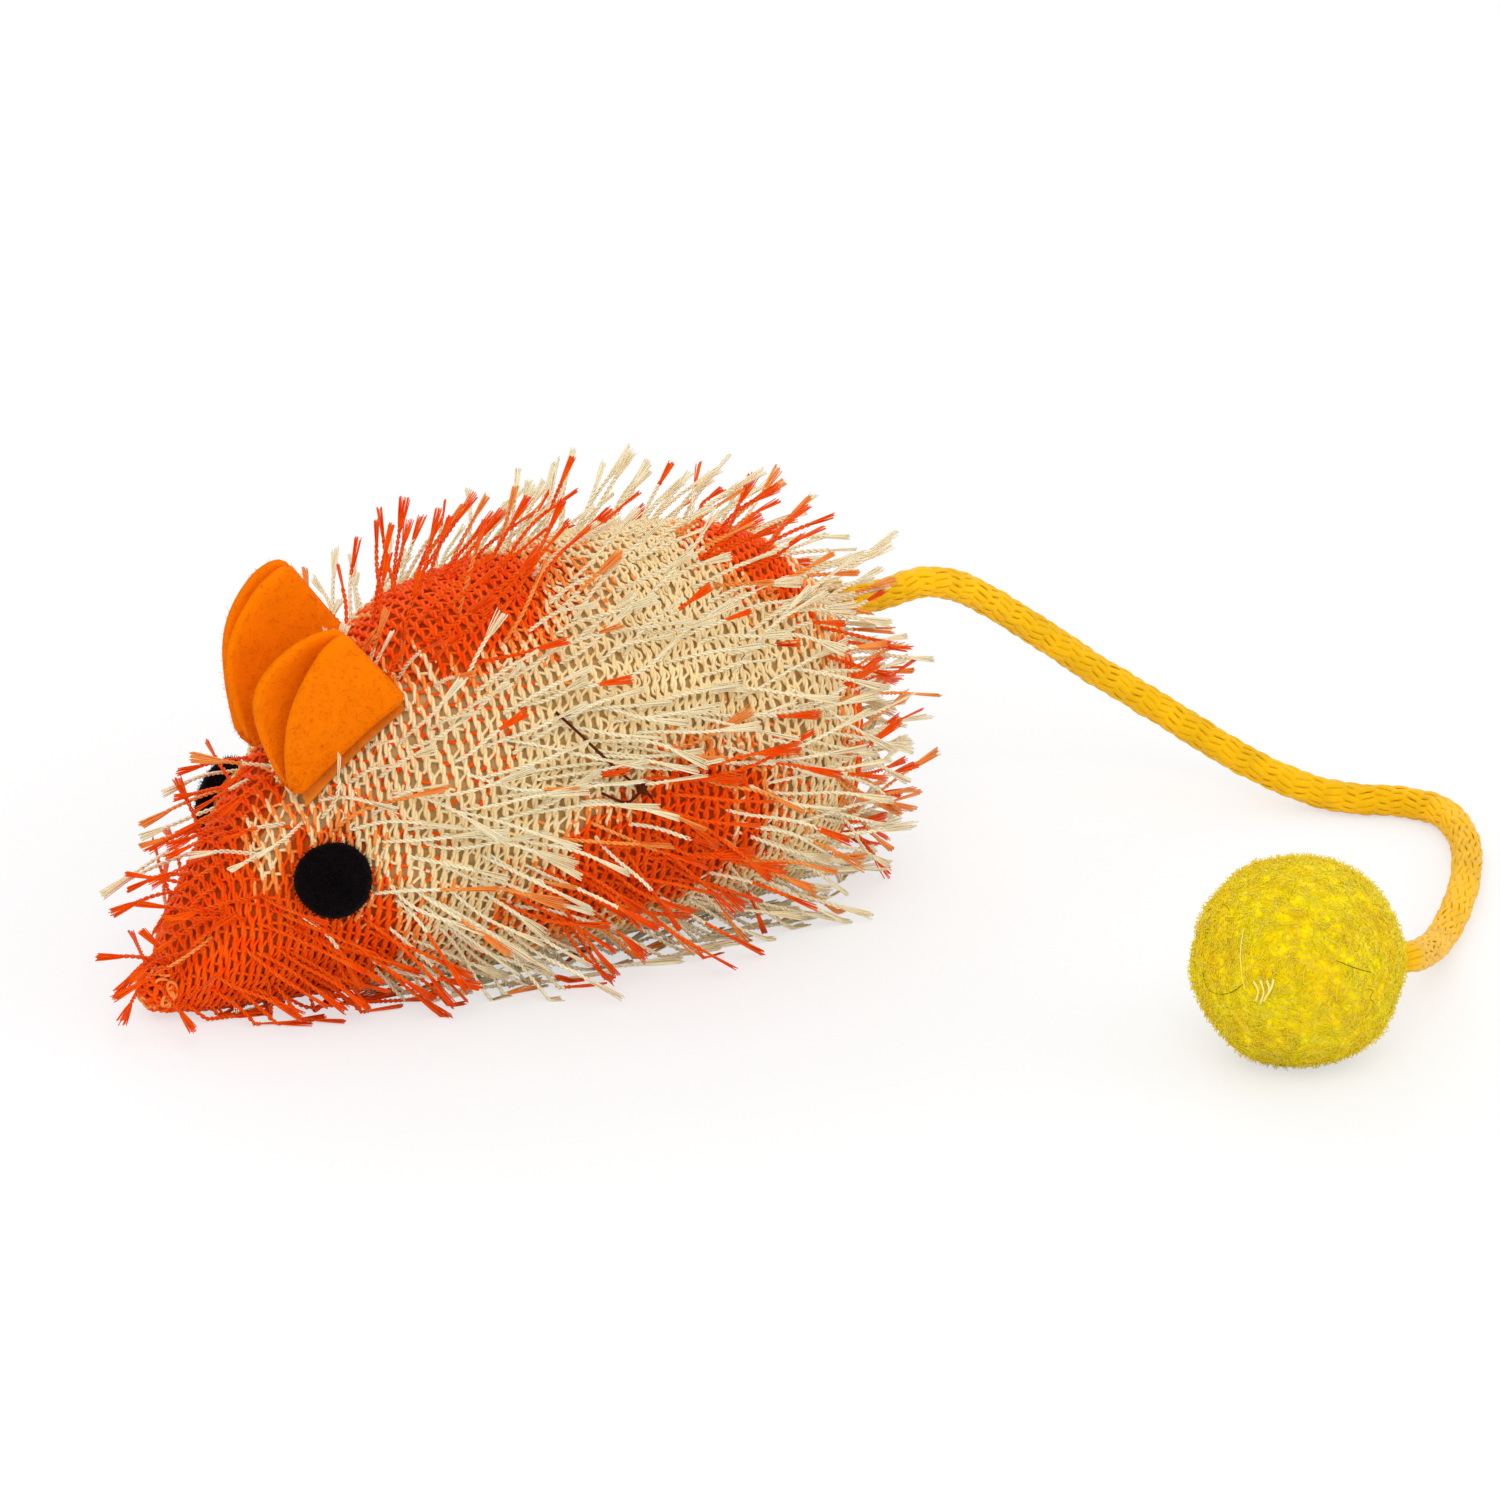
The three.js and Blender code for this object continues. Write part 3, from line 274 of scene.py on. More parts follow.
class Fabric:
    """Cloth wrapped over the body: v runs along it from the nose, and s round it from the back, in metres"""

    def __init__(self):
        self.rings = np.linspace(FIRST_RING, LAST_RING, CLOTH_ROWS)
        turns = np.linspace(0, math.pi, CLOTH_COLUMNS)
        grid = skin_point(self.rings[:, None], turns[None, :], np.full((1, 1), KNIT_DEPTH))
        steps = np.linalg.norm(np.diff(grid, axis=1), axis=-1)
        lengths = np.concatenate([np.zeros((len(self.rings), 1)), np.cumsum(steps, axis=1)], axis=1)
        self.half_girth = lengths[:, -1]
        self.shares = np.linspace(0, 1, CLOTH_COLUMNS)
        self.turns = np.array([np.interp(self.shares, row / row[-1], turns) for row in lengths])
        flank = grid[:, FLANK_COLUMN]
        self.v = np.concatenate([[0], np.cumsum(np.linalg.norm(np.diff(flank, axis=0), axis=-1))])

    def place(self, v, s):
        """Ring and turn of a place on the cloth"""
        row = np.interp(v, self.v, np.arange(len(self.v)))
        low = np.clip(row.astype(int), 0, len(self.v) - 2)
        part = row - low
        girth = np.interp(v, self.v, self.half_girth)
        column = np.clip(np.abs(s) / girth, 0, 1) * (len(self.shares) - 1)
        left = np.clip(column.astype(int), 0, len(self.shares) - 2)
        rest = column - left
        turn = (1 - part) * (
            (1 - rest) * self.turns[low, left] + rest * self.turns[low, left + 1]
        ) + part * ((1 - rest) * self.turns[low + 1, left] + rest * self.turns[low + 1, left + 1])
        return np.interp(v, self.v, self.rings), np.sign(s) * turn

    def girth_at(self, v):
        return np.interp(v, self.v, self.half_girth)

    def point(self, v, s, depth):
        ring, turn = self.place(v, s)
        return skin_point(ring, turn, depth)

    def normal(self, v, s):
        return form_normal(*self.place(v, s))


FABRIC = Fabric()


# Meshes


def mesh_object(name, vertices, faces, materials, indices=None):
    """An object from an array of vertices and one or more arrays of faces, each of one number of sides"""
    faces = [np.asarray(f, np.int32) for f in (faces if isinstance(faces, list) else [faces]) if len(f)]
    counts = np.concatenate([np.full(len(f), f.shape[1], np.int32) for f in faces])
    corners = np.concatenate([f.ravel() for f in faces])
    mesh = bpy.data.meshes.new(name)
    mesh.vertices.add(len(vertices))
    mesh.vertices.foreach_set("co", np.asarray(vertices, np.float32).ravel())
    mesh.loops.add(len(corners))
    mesh.loops.foreach_set("vertex_index", corners)
    mesh.polygons.add(len(counts))
    mesh.polygons.foreach_set("loop_start", np.concatenate([[0], np.cumsum(counts)[:-1]]).astype(np.int32))
    mesh.polygons.foreach_set("loop_total", counts)
    mesh.polygons.foreach_set("use_smooth", np.ones(len(counts), bool))
    for material in materials:
        mesh.materials.append(material)
    if indices is not None:
        mesh.polygons.foreach_set("material_index", np.asarray(indices, np.int32))
    mesh.update(calc_edges=True)
    mesh.validate()
    obj = bpy.data.objects.new(name, mesh)
    bpy.context.scene.collection.objects.link(obj)
    return obj


class Strands:
    """Collects round strands and makes one mesh of them"""

    def __init__(self):
        self.vertices = []
        self.faces = {}
        self.indices = {}
        self.count = 0

    def add(self, paths, radii, sides, up, paint, flat=1.0):
        """paths is strands by points by 3, radii and up follow it, and paint is a number for each strand or
        for each stretch of each strand"""
        paths = np.asarray(paths, float)
        n, k = paths.shape[:2]
        tangent = unit(np.gradient(paths, axis=1))
        up = np.broadcast_to(up, paths.shape)
        across = unit(np.cross(tangent, up))
        upward = np.cross(across, tangent)
        angle = np.arange(sides) * 2 * math.pi / sides
        radii = np.broadcast_to(radii, (n, k))[..., None, None]
        ring = (
            paths[:, :, None]
            + across[:, :, None] * np.cos(angle)[:, None] * radii
            + upward[:, :, None] * np.sin(angle)[:, None] * radii * flat
        )
        number = self.count + np.arange(n * k * sides).reshape(n, k, sides)
        self.vertices.append(ring.reshape(-1, 3))
        self.count += n * k * sides
        after = np.roll(number, -1, axis=2)
        quads = np.stack([number[:, :-1], after[:, :-1], after[:, 1:], number[:, 1:]], axis=-1)
        paint = np.broadcast_to(np.asarray(paint).reshape(n, -1), (n, k - 1))
        self._keep(quads.reshape(-1, 4), np.repeat(paint.ravel(), sides))
        caps = np.concatenate([number[:, 0, ::-1], number[:, -1]])
        self._keep(caps, np.concatenate([paint[:, 0], paint[:, -1]]))

    def _keep(self, faces, paint):
        self.faces.setdefault(faces.shape[1], []).append(faces)
        self.indices.setdefault(faces.shape[1], []).append(paint)

    def build(self, name, materials):
        kinds = sorted(self.faces)
        faces = [np.concatenate(self.faces[kind]) for kind in kinds]
        paint = np.concatenate([np.concatenate(self.indices[kind]) for kind in kinds])
        return mesh_object(name, np.concatenate(self.vertices), faces, materials, paint)


def tube_faces(rows, columns):
    """Quads round a tube of points, and the numbers of the points at its two ends"""
    number = np.arange(rows * columns).reshape(rows, columns)
    after = np.roll(number, -1, axis=1)
    quads = np.stack([number[:-1], after[:-1], after[1:], number[1:]], axis=-1)
    return quads.reshape(-1, 4), number[:1], number[-1:]


def sheet_faces(number):
    """Quads between the points of a grid of numbers"""
    corners = [number[:-1, :-1], number[1:, :-1], number[1:, 1:], number[:-1, 1:]]
    return np.stack(corners, axis=-1).reshape(-1, 4)


def piece(obj, body, slot, *replaced):
    """Sets a piece on its body and hides the frame's pieces that it stands for; its slot is not used"""
    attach(obj, body)
    if replaced:
        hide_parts(*replaced)
    return obj


# Colour patches on the cloth

# Each patch: where its middle lies, along the cloth from the nose and round from the back, half its length
# and half its width, all in millimetres, and its slant in degrees. The left side's distances are positive.
PATCHES = (
    (0, 0, 15, 90, 0),
    (16, -3, 9, 6, 0),
    (17, 17, 10, 9, 30),
    (23.5, 29.5, 12.5, 7.8, 42),
    (19, 36, 13, 12, 0),
    (46.5, 0, 12, 10, 15),
    (80, 3, 5.5, 7, 0),
    (60, 36, 13.5, 8, -19),
    (91, 22, 4.5, 14, 0),
    (25, -30, 14, 9, -35),
    (12, -38, 11, 14, 0),
    (61, -33, 13, 8, 15),
    (86, -24, 6, 9, 0),
    (45, -50, 8, 6, 0),
)
CREAM, RUST, AMBER = range(3)
DYE_DRIFT = 0.7 * MM
DYE_DRIFT_LENGTH = 9 * MM
WANDER_WAVES = 5
WANDER_LENGTHS = (0.6, 1.6)  # of single waves, as shares of the usual length
WANDER_HEIGHT = 2.2  # that the waves reach together


def patch_level(v, s):
    """How far inside a coloured patch a place on the cloth is, in metres, and below 0 outside them all"""
    level = np.full(np.broadcast(v, s).shape, -BODY_LENGTH)
    for along, away, half_length, half_width, slant in PATCHES:
        dv, ds = v / MM - along, s / MM - away
        c, k = math.cos(math.radians(slant)), math.sin(math.radians(slant))
        reach = np.hypot((dv * c + ds * k) / half_length, (ds * c - dv * k) / half_width)
        level = np.maximum(level, (1 - reach) * min(half_length, half_width) * MM)
    return level


def wander(rng, v, s, usual_length, amount):
    """A smooth chance value over the cloth, from a few waves"""
    total = np.zeros(np.broadcast(v, s).shape)
    for _ in range(WANDER_WAVES):
        way = rng.uniform(0, 2 * math.pi)
        length = usual_length * rng.uniform(*WANDER_LENGTHS)
        run = v * math.cos(way) + s * math.sin(way)
        total += np.sin(run * 2 * math.pi / length + rng.uniform(*ANY_PHASE))
    return total * amount / WANDER_HEIGHT


# Finishes

PLAIN_GLOSS = 0.3
CREAM_GLOSS = 0.6
# A paler copy of the cream yarn for the loose lashes: painted light and sheen that they catch
LASH_CREAM_PAINTED_LIGHT = (1.0, 0.965, 0.83)
YARN_SECOND_TONES = {"cream": (1.0, 0.87, 0.63), "rust": (1.0, 0.43, 0.09), "amber": (1.0, 0.56, 0.2)}


def largest(nodes, links, values):
    """A socket that gives the largest of several sockets' values"""
    found = values[0]
    for value in values[1:]:
        larger = nodes.new("ShaderNodeMath")
        larger.operation = "MAXIMUM"
        links.new(found, larger.inputs[0])
        links.new(value, larger.inputs[1])
        found = larger.outputs["Value"]
    return found


class Finish:
    """Builds a node material: a main colour that wanders to a second one, and a fine surface"""

    def __init__(self, name, main, second, roughness, patch=1.5 * MM, contrast=0.5):
        self.material = bpy.data.materials.new(name)
        self.material.use_nodes = True
        self.nodes = self.material.node_tree.nodes
        self.links = self.material.node_tree.links
        self.shader = self.nodes["Principled BSDF"]
        self.shader.inputs["Roughness"].default_value = roughness
        self.shader.inputs["Specular IOR Level"].default_value = PLAIN_GLOSS
        self.shader.inputs["Specular Tint"].default_value = (*main, 1)
        self.place = self.nodes.new("ShaderNodeTexCoord").outputs["Object"]
        cloud = self.noise(patch, 3)
        fade = self.nodes.new("ShaderNodeMapRange")
        fade.inputs["From Min"].default_value = 0.5 - contrast / 2
        fade.inputs["From Max"].default_value = 0.5 + contrast / 2
        self.links.new(cloud, fade.inputs["Value"])
        self.mix = self.nodes.new("ShaderNodeMix")
        self.mix.data_type = "RGBA"
        self.mix.inputs["A"].default_value = (*main, 1)
        self.mix.inputs["B"].default_value = (*second, 1)
        self.links.new(fade.outputs["Result"], self.mix.inputs["Factor"])
        self.links.new(self.mix.outputs["Result"], self.shader.inputs["Base Color"])

    def noise(self, size, detail):
        node = self.nodes.new("ShaderNodeTexNoise")
        node.inputs["Scale"].default_value = 1 / size
        node.inputs["Detail"].default_value = detail
        self.links.new(self.place, node.inputs["Vector"])
        return node.outputs["Fac"]

    def bump(self, height, distance, strength=0.6):
        node = self.nodes.new("ShaderNodeBump")
        node.inputs["Distance"].default_value = distance
        node.inputs["Strength"].default_value = strength
        self.links.new(height, node.inputs["Height"])
        self.links.new(node.outputs["Normal"], self.shader.inputs["Normal"])
        return self

    def weave(self, size):
        """Threads that cross each other, for the height of a bump"""
        heights = []
        for axis in ("X", "Z"):
            wave = self.nodes.new("ShaderNodeTexWave")
            wave.bands_direction = axis
            wave.inputs["Scale"].default_value = 1 / (size * 6)
            wave.inputs["Distortion"].default_value = 0.6
            self.links.new(self.place, wave.inputs["Vector"])
            heights.append(wave.outputs["Fac"])
        return largest(self.nodes, self.links, heights)

    def glint(self, level, tint):
        """The gloss, and its colour"""
        self.shader.inputs["Specular IOR Level"].default_value = level
        self.shader.inputs["Specular Tint"].default_value = (*tint, 1)
        return self

    def soft(self, weight, roughness=0.4, tint=(1, 1, 1)):
        """The sheen of loose fibres"""
        self.shader.inputs["Sheen Weight"].default_value = weight
        self.shader.inputs["Sheen Roughness"].default_value = roughness
        self.shader.inputs["Sheen Tint"].default_value = (*tint, 1)
        return self


def shade(tone, factor):
    """A colour made darker or lighter"""
    return tuple(min(1, c * factor) for c in tone)


def colour_between(a, b):
    return tuple((x + y) / 2 for x, y in zip(a, b))


def yarn_finishes(label, roughness):
    """Cream, rust and amber yarn, in the order of the colour numbers"""
    made = []
    for name, second in YARN_SECOND_TONES.items():
        tone = colour(name)
        # The lashes take the paler cream, which paints the light and sheen that they catch
        if (label, name) == ("lash", "cream"):
            tone, second = linear(LASH_CREAM_PAINTED_LIGHT), colour_between(LASH_CREAM_PAINTED_LIGHT, second)
        finish = Finish(f"{label}_{name}", tone, linear(second), roughness)
        finish.bump(finish.noise(0.16 * MM, 2), 0.05 * MM).soft(0.06, tint=tone)
        finish.glint(CREAM_GLOSS if name == "cream" else PLAIN_GLOSS, shade(tone, 1.6))
        made.append(finish.material)
    return made


# The tail cord

ROUTE_POINTS = 2000  # on which the route's length is measured
CORD_STEP = 0.5 * MM
BRAID_STRANDS = 12  # that wind each way
BRAID_PITCH = 40 * MM
BRAID_RADIUS = 1.3 * MM
BRAID_LIFT = 0.12 * MM  # of a strand where it crosses over another
BRAID_HALF_WIDTH = 0.38 * MM
BRAID_FLATNESS = 0.5
BRAID_SLACK = 0.05 * MM
BRAID_SLACK_LENGTH = 2.7 * MM
STRAND_SWELL = 0.15
STRAND_SWELL_LENGTH = 1.9 * MM
BRAID_CORE_RADIUS = 1.15 * MM
CORD_SUNK = 3.2 * MM  # how far it goes on into the pompom


def tail_route():
    """Evenly spaced points down the middle of the tail cord"""
    radius = CORD_DIAMETER / 2
    points = [
        (
            TAIL_ROOT.x + back * TAIL_REACH,
            side * TAIL_REACH,
            radius + rump * (TAIL_ROOT.z - radius) + pompom * (POMPOM_HEIGHT - radius),
        )
        for back, side, rump, pompom in TAIL_ROUTE_SHARES
    ]
    low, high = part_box("pompom")
    middle = Vector(((low.x + high.x) / 2, (low.y + high.y) / 2, POMPOM_HEIGHT))
    last = Vector(points[-1])
    points.append(tuple(last + (middle - last).normalized() * CORD_SUNK))
    fine = spline(points, np.linspace(0, len(points) - 1, ROUTE_POINTS))
    length = np.concatenate([[0], np.cumsum(np.linalg.norm(np.diff(fine, axis=0), axis=1))])
    even = np.linspace(0, length[-1], round(length[-1] / CORD_STEP) + 1)
    return np.stack([np.interp(even, length, fine[:, i]) for i in range(3)], axis=1), length[-1]


def carried_frame(path):
    """A direction square to the path at each of its points, without twist"""
    tangent = unit(np.gradient(path, axis=0))
    side = np.zeros_like(path)
    side[0] = unit(np.cross(tangent[0], (0, 0, 1)))
    for i in range(1, len(path)):
        carried = side[i - 1] - tangent[i] * np.dot(side[i - 1], tangent[i])
        side[i] = unit(carried)
    return side, np.cross(tangent, side)


class MOUSE_OT_tail_cord(bpy.types.Operator):
    """Braids the tail cord along its route"""

    bl_idname = "mouse.tail_cord"
    bl_label = "Tail cord"

    def execute(self, context):
        rng = np.random.default_rng(sizes().seed)
        route, length = tail_route()
        side, up = carried_frame(route)
        along = np.arange(len(route)) * length / (len(route) - 1)
        strands = Strands()
        strands.add(route[None], BRAID_CORE_RADIUS, sides=16, up=up, paint=1)
        wound = 2 * math.pi * along / BRAID_PITCH
        for way in (1, -1):
            for i in range(BRAID_STRANDS):
                turn = 2 * math.pi * i / BRAID_STRANDS + way * wound
                out = side * np.cos(turn)[:, None] + up * np.sin(turn)[:, None]
                slack = BRAID_SLACK * np.sin(along / BRAID_SLACK_LENGTH + rng.uniform(*ANY_PHASE))
                away = BRAID_RADIUS + way * BRAID_LIFT * np.cos(BRAID_STRANDS * wound) + slack
                swell = STRAND_SWELL * np.sin(along / STRAND_SWELL_LENGTH + rng.uniform(*ANY_PHASE))
                width = BRAID_HALF_WIDTH * (1 + swell)
                path = route + out * away[:, None]
                path[:, 2] = np.maximum(path[:, 2], width * BRAID_FLATNESS)
                strands.add(path[None], width[None], sides=6, up=out, paint=0, flat=BRAID_FLATNESS)
        tone = colour("cord")
        satin = Finish("satin_braid", tone, shade(tone, 0.8), 0.36, patch=4 * MM, contrast=0.35)
        satin.shader.inputs["Anisotropic"].default_value = 0.4
        satin.bump(satin.noise(0.14 * MM, 2), 0.04 * MM).soft(0.2, tint=tone)
        # Painted shade: the core, seen only in the gaps between the strands, is painted darker than the
        # satin
        core_painted_shade = Finish("braid_core_painted_shade", shade(tone, 0.6), shade(tone, 0.4), 0.6)
        core_painted_shade.bump(core_painted_shade.noise(0.3 * MM, 2), 0.05 * MM)
        braid = strands.build("braided_tail_cord", [satin.material, core_painted_shade.material])
        cord = piece(braid, "tail", "cord", "tail_cord")
        return {"FINISHED"}


# The pompom

POMPOM_RADIUS = 10.4 * MM
PILE_CORE = 10.4 * MM
PILE_CORE_ROWS = 110
PILE_CORE_COLUMNS = 180
PILE_CORE_FLOOR = 0.3 * MM
POLE_GAP = 0.02  # left open at its top and bottom, in radians
PILE_POINTS = 4  # along each fibre
PILE_RADIUS = 0.045 * MM
ODD_WAY = (0.31, 0.42, 0.85)  # a direction that no fibre follows for long
PILE_MATTED = 0.6  # share of the fibres that lie flat on the ball; the others stand out a little
PILE_RUNS = ((0.8, 2), (0.2, 0.8))  # in mm along the ball, of matted fibres and of the others
PILE_RISES = ((0.05, 0.2), (0.2, 0.7))  # in mm off it
PILE_ARCH = 2.6  # radians of the wave that a matted fibre follows
PILE_SCATTER = 0.015
PILE_TAPER = (1.15, 0.75)
PILE_SUNK = 0.06 * MM  # how far a fibre's foot is under the core's face
ROOT_PAINTED_SHADE_ODDS = (0.55, 0.45)  # of the painted shade tone and the middle one, at a fibre's foot
TIP_PAINTED_LIGHT_ODDS = (0.72, 0.28)  # of the middle tone and the painted light tone, along a fibre's outer end
PILE_PIECES = 3
# A paler yellow for fibre tips: painted light, as if shining through the pile's outer ends
PILE_PAINTED_LIGHT_TIP = (1.0, 0.94, 0.38)
PILE_SHEEN = (1.0, 0.82, 0.16)
LUMPS = ((4, 0.018), (14, 0.009))  # fineness and height, as a share of the radius
LUMP_WAVES = 14
HAIR_LIFT = 0.5 * MM
HAIR_TONES = ((0.3, 0.22, 0.05), (0.2, 0.14, 0.03))
LINT_TONES = ((1.0, 0.95, 0.6), (0.98, 0.9, 0.45))
# Stray hairs: dark or pale, radius in mm, and places as shares of the ball's radius to the right and up
STRAY_HAIRS = (
    (
        0, 0.035,
        ((-0.88, -0.07), (-0.86, -0.19), (-0.81, -0.27), (-0.71, -0.3), (-0.6, -0.27), (-0.52, -0.21)),
    ),
    (0, 0.035, ((0.33, 0.01), (0.45, -0.04), (0.57, -0.08), (0.65, -0.1))),
    (0, 0.03, ((0.62, -0.25), (0.67, -0.27), (0.64, -0.33), (0.68, -0.38))),
    (0, 0.03, ((-0.7, 0.52), (-0.66, 0.5), (-0.64, 0.46))),
    (1, 0.05, ((-0.51, 0.3), (-0.54, 0.1), (-0.53, -0.1), (-0.5, -0.26))),
    (1, 0.12, ((-0.42, -0.18), (-0.38, -0.27), (-0.4, -0.36))),
    (1, 0.12, ((-0.36, -0.17), (-0.33, -0.28), (-0.36, -0.38))),
    (1, 0.12, ((-0.3, -0.17), (-0.28, -0.26), (-0.33, -0.36))),
    (1, 0.12, ((-0.24, -0.16), (-0.26, -0.24), (-0.3, -0.31))),
)


def even_directions(count):
    """Directions that cover a ball evenly"""
    i = np.arange(count) + 0.5
    rise = 1 - 2 * i / count
    turn = i * math.pi * (3 - math.sqrt(5))
    level = np.sqrt(1 - rise**2)
    return np.stack([level * np.cos(turn), level * np.sin(turn), rise], axis=1)


def lumps(directions):
    """A chance height over the ball, as a share of its radius: wide swells and small tufts"""
    rng = np.random.default_rng(sizes().seed + 2)
    total = np.zeros(directions.shape[:-1])
    for fineness, amount in LUMPS:
        for _ in range(LUMP_WAVES):
            way = rng.normal(size=3) * fineness
            total += np.sin(directions @ way + rng.uniform(*ANY_PHASE)) * amount / math.sqrt(LUMP_WAVES)
    return total


class MOUSE_OT_pompom(bpy.types.Operator):
    """Ties the pompom: a soft core and a trimmed pile of single fibres"""

    bl_idname = "mouse.pompom"
    bl_label = "Pompom"

    def execute(self, context):
        low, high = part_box("pompom")
        centre = np.array((low + high) / 2)
        centre[2] = POMPOM_HEIGHT
        self.core(centre)
        self.pile(centre)
        self.hairs(centre)
        return {"FINISHED"}

    @staticmethod
    def core(centre):
        """The tight middle of the ball, which shows between the fibres"""
        tilt = np.linspace(POLE_GAP, math.pi - POLE_GAP, PILE_CORE_ROWS)[:, None]
        turn = np.linspace(0, 2 * math.pi, PILE_CORE_COLUMNS + 1)[None, :-1]
        level = np.cos(tilt) * np.ones_like(turn)
        ball = np.stack([np.sin(tilt) * np.cos(turn), np.sin(tilt) * np.sin(turn), level], -1)
        core = centre + ball * PILE_CORE * (1 + lumps(ball))[..., None]
        core[..., 2] = np.maximum(core[..., 2], PILE_CORE_FLOOR)
        tone = colour("pile")
        deep = Finish("pile_core", tone, (tone[0], tone[1] * 0.8, tone[2] * 0.5), 0.9, patch=3 * MM)
        deep.bump(deep.noise(0.4 * MM, 3), 0.12 * MM, 1).soft(0.9, 0.4, tint=PILE_SHEEN)
        quads, top, bottom = tube_faces(PILE_CORE_ROWS, PILE_CORE_COLUMNS)
        faces = [quads[:, [0, 3, 2, 1]], top, bottom[:, ::-1]]
        heart = mesh_object("pompom_core", core.reshape(-1, 3), faces, [deep.material])
        piece(heart, "tail", "pile", "pompom")

    @staticmethod
    def pile(centre):
        """Single fibres, most of them matted down on the core"""
        rng = np.random.default_rng(sizes().seed + 1)
        tone = colour("pile")
        # Painted shade and light: a deeper tone at some fibres' feet in the pile, a paler yellow at some
        # tips
        root_painted_shade_tone = (tone[0], tone[1] * 0.92, tone[2] * 0.3)
        finishes = []
        for name, hue in (("pile_painted_shade", root_painted_shade_tone), ("pile_mid", tone), ("pile_painted_light", linear(PILE_PAINTED_LIGHT_TIP))):
            fibre = Finish(name, hue, (hue[0], hue[1] * 0.84, hue[2] * 0.5), 0.75, patch=3 * MM)
            fibre.soft(0.9, 0.4, tint=PILE_SHEEN)
            finishes.append(fibre.material)
        count = sizes().pompom_fibres
        for third in range(PILE_PIECES):
            out = even_directions(PILE_PIECES * count)[third::PILE_PIECES]
            out = unit(out + rng.normal(size=out.shape) * PILE_SCATTER)
            matted = rng.uniform(size=count) < PILE_MATTED
            run, rise = (
                np.where(matted, *(rng.uniform(*limits, size=count) for limits in both)) * MM
                for both in (PILE_RUNS, PILE_RISES)
            )
            first = unit(np.cross(out, rng.normal(size=out.shape)))
            second = np.cross(out, first) * rng.uniform(-1, 1, size=(count, 1))
            u = np.linspace(0, 1, PILE_POINTS)
            turned = first[:, None] * u[:, None] + second[:, None] * (u**2)[:, None]
            way = unit(out[:, None] + turned * (run / PILE_CORE)[:, None, None])
            lift = rise[:, None] * np.where(matted[:, None], np.sin(u * PILE_ARCH), u)
            ground = PILE_CORE * (1 + lumps(out))[:, None] - PILE_SUNK
            path = centre + way * (ground + lift)[..., None]
            path[..., 2] = np.maximum(path[..., 2], PILE_RADIUS * 1.1)
            radii = PILE_RADIUS * np.linspace(*PILE_TAPER, PILE_POINTS)[None]
            root = rng.choice(2, size=count, p=ROOT_PAINTED_SHADE_ODDS)
            tip = rng.choice((1, 2), size=count, p=TIP_PAINTED_LIGHT_ODDS)
            strands = Strands()
            paint = np.stack([root, tip, tip], axis=1)
            strands.add(path, radii, sides=3, up=ODD_WAY, paint=paint)
            piece(strands.build(f"pompom_pile_{third}", finishes), "tail", "pile", "pompom")

    @staticmethod
    def hairs(centre):
        """A few stray hairs caught in the pile, and a scrap of pale lint"""
        view = unit(np.array(VIEW_DIRECTION))
        right = unit(np.cross((0, 0, 1), view))
        up = np.cross(view, right)
        dark = Finish("hair_dark", *map(linear, HAIR_TONES), 0.5)
        pale = Finish("lint_pale", *map(linear, LINT_TONES), 0.7)
        strands = Strands()
        for paint, radius, line in STRAY_HAIRS:
            flat = np.array(spline([(*spot, 0) for spot in line], np.linspace(0, len(line) - 1, 16)))[:, :2]
            deep = np.sqrt(1 - np.sum(flat**2, axis=1))
            out = flat[:, :1] * right + flat[:, 1:] * up + deep[:, None] * view
            path = centre + out * (POMPOM_RADIUS + HAIR_LIFT)
            strands.add(path[None], radius * MM, sides=4, up=out, paint=paint)
        piece(strands.build("pompom_hairs", [dark.material, pale.material]), "tail", "pile", "pompom")


# The liner

LINER_PAINTED_BOUNCE = (0.9, 0.4, 0.14)  # painted bounce light: the orange that the rust patches throw on the liner
PAINTED_BOUNCE_REACH = 0.8 * MM  # how far it goes beyond them
LINER_THREAD = 0.35 * MM
LINER_START = 0.35  # its first ring
LINER_ROWS = 130
LINER_COLUMNS = 110


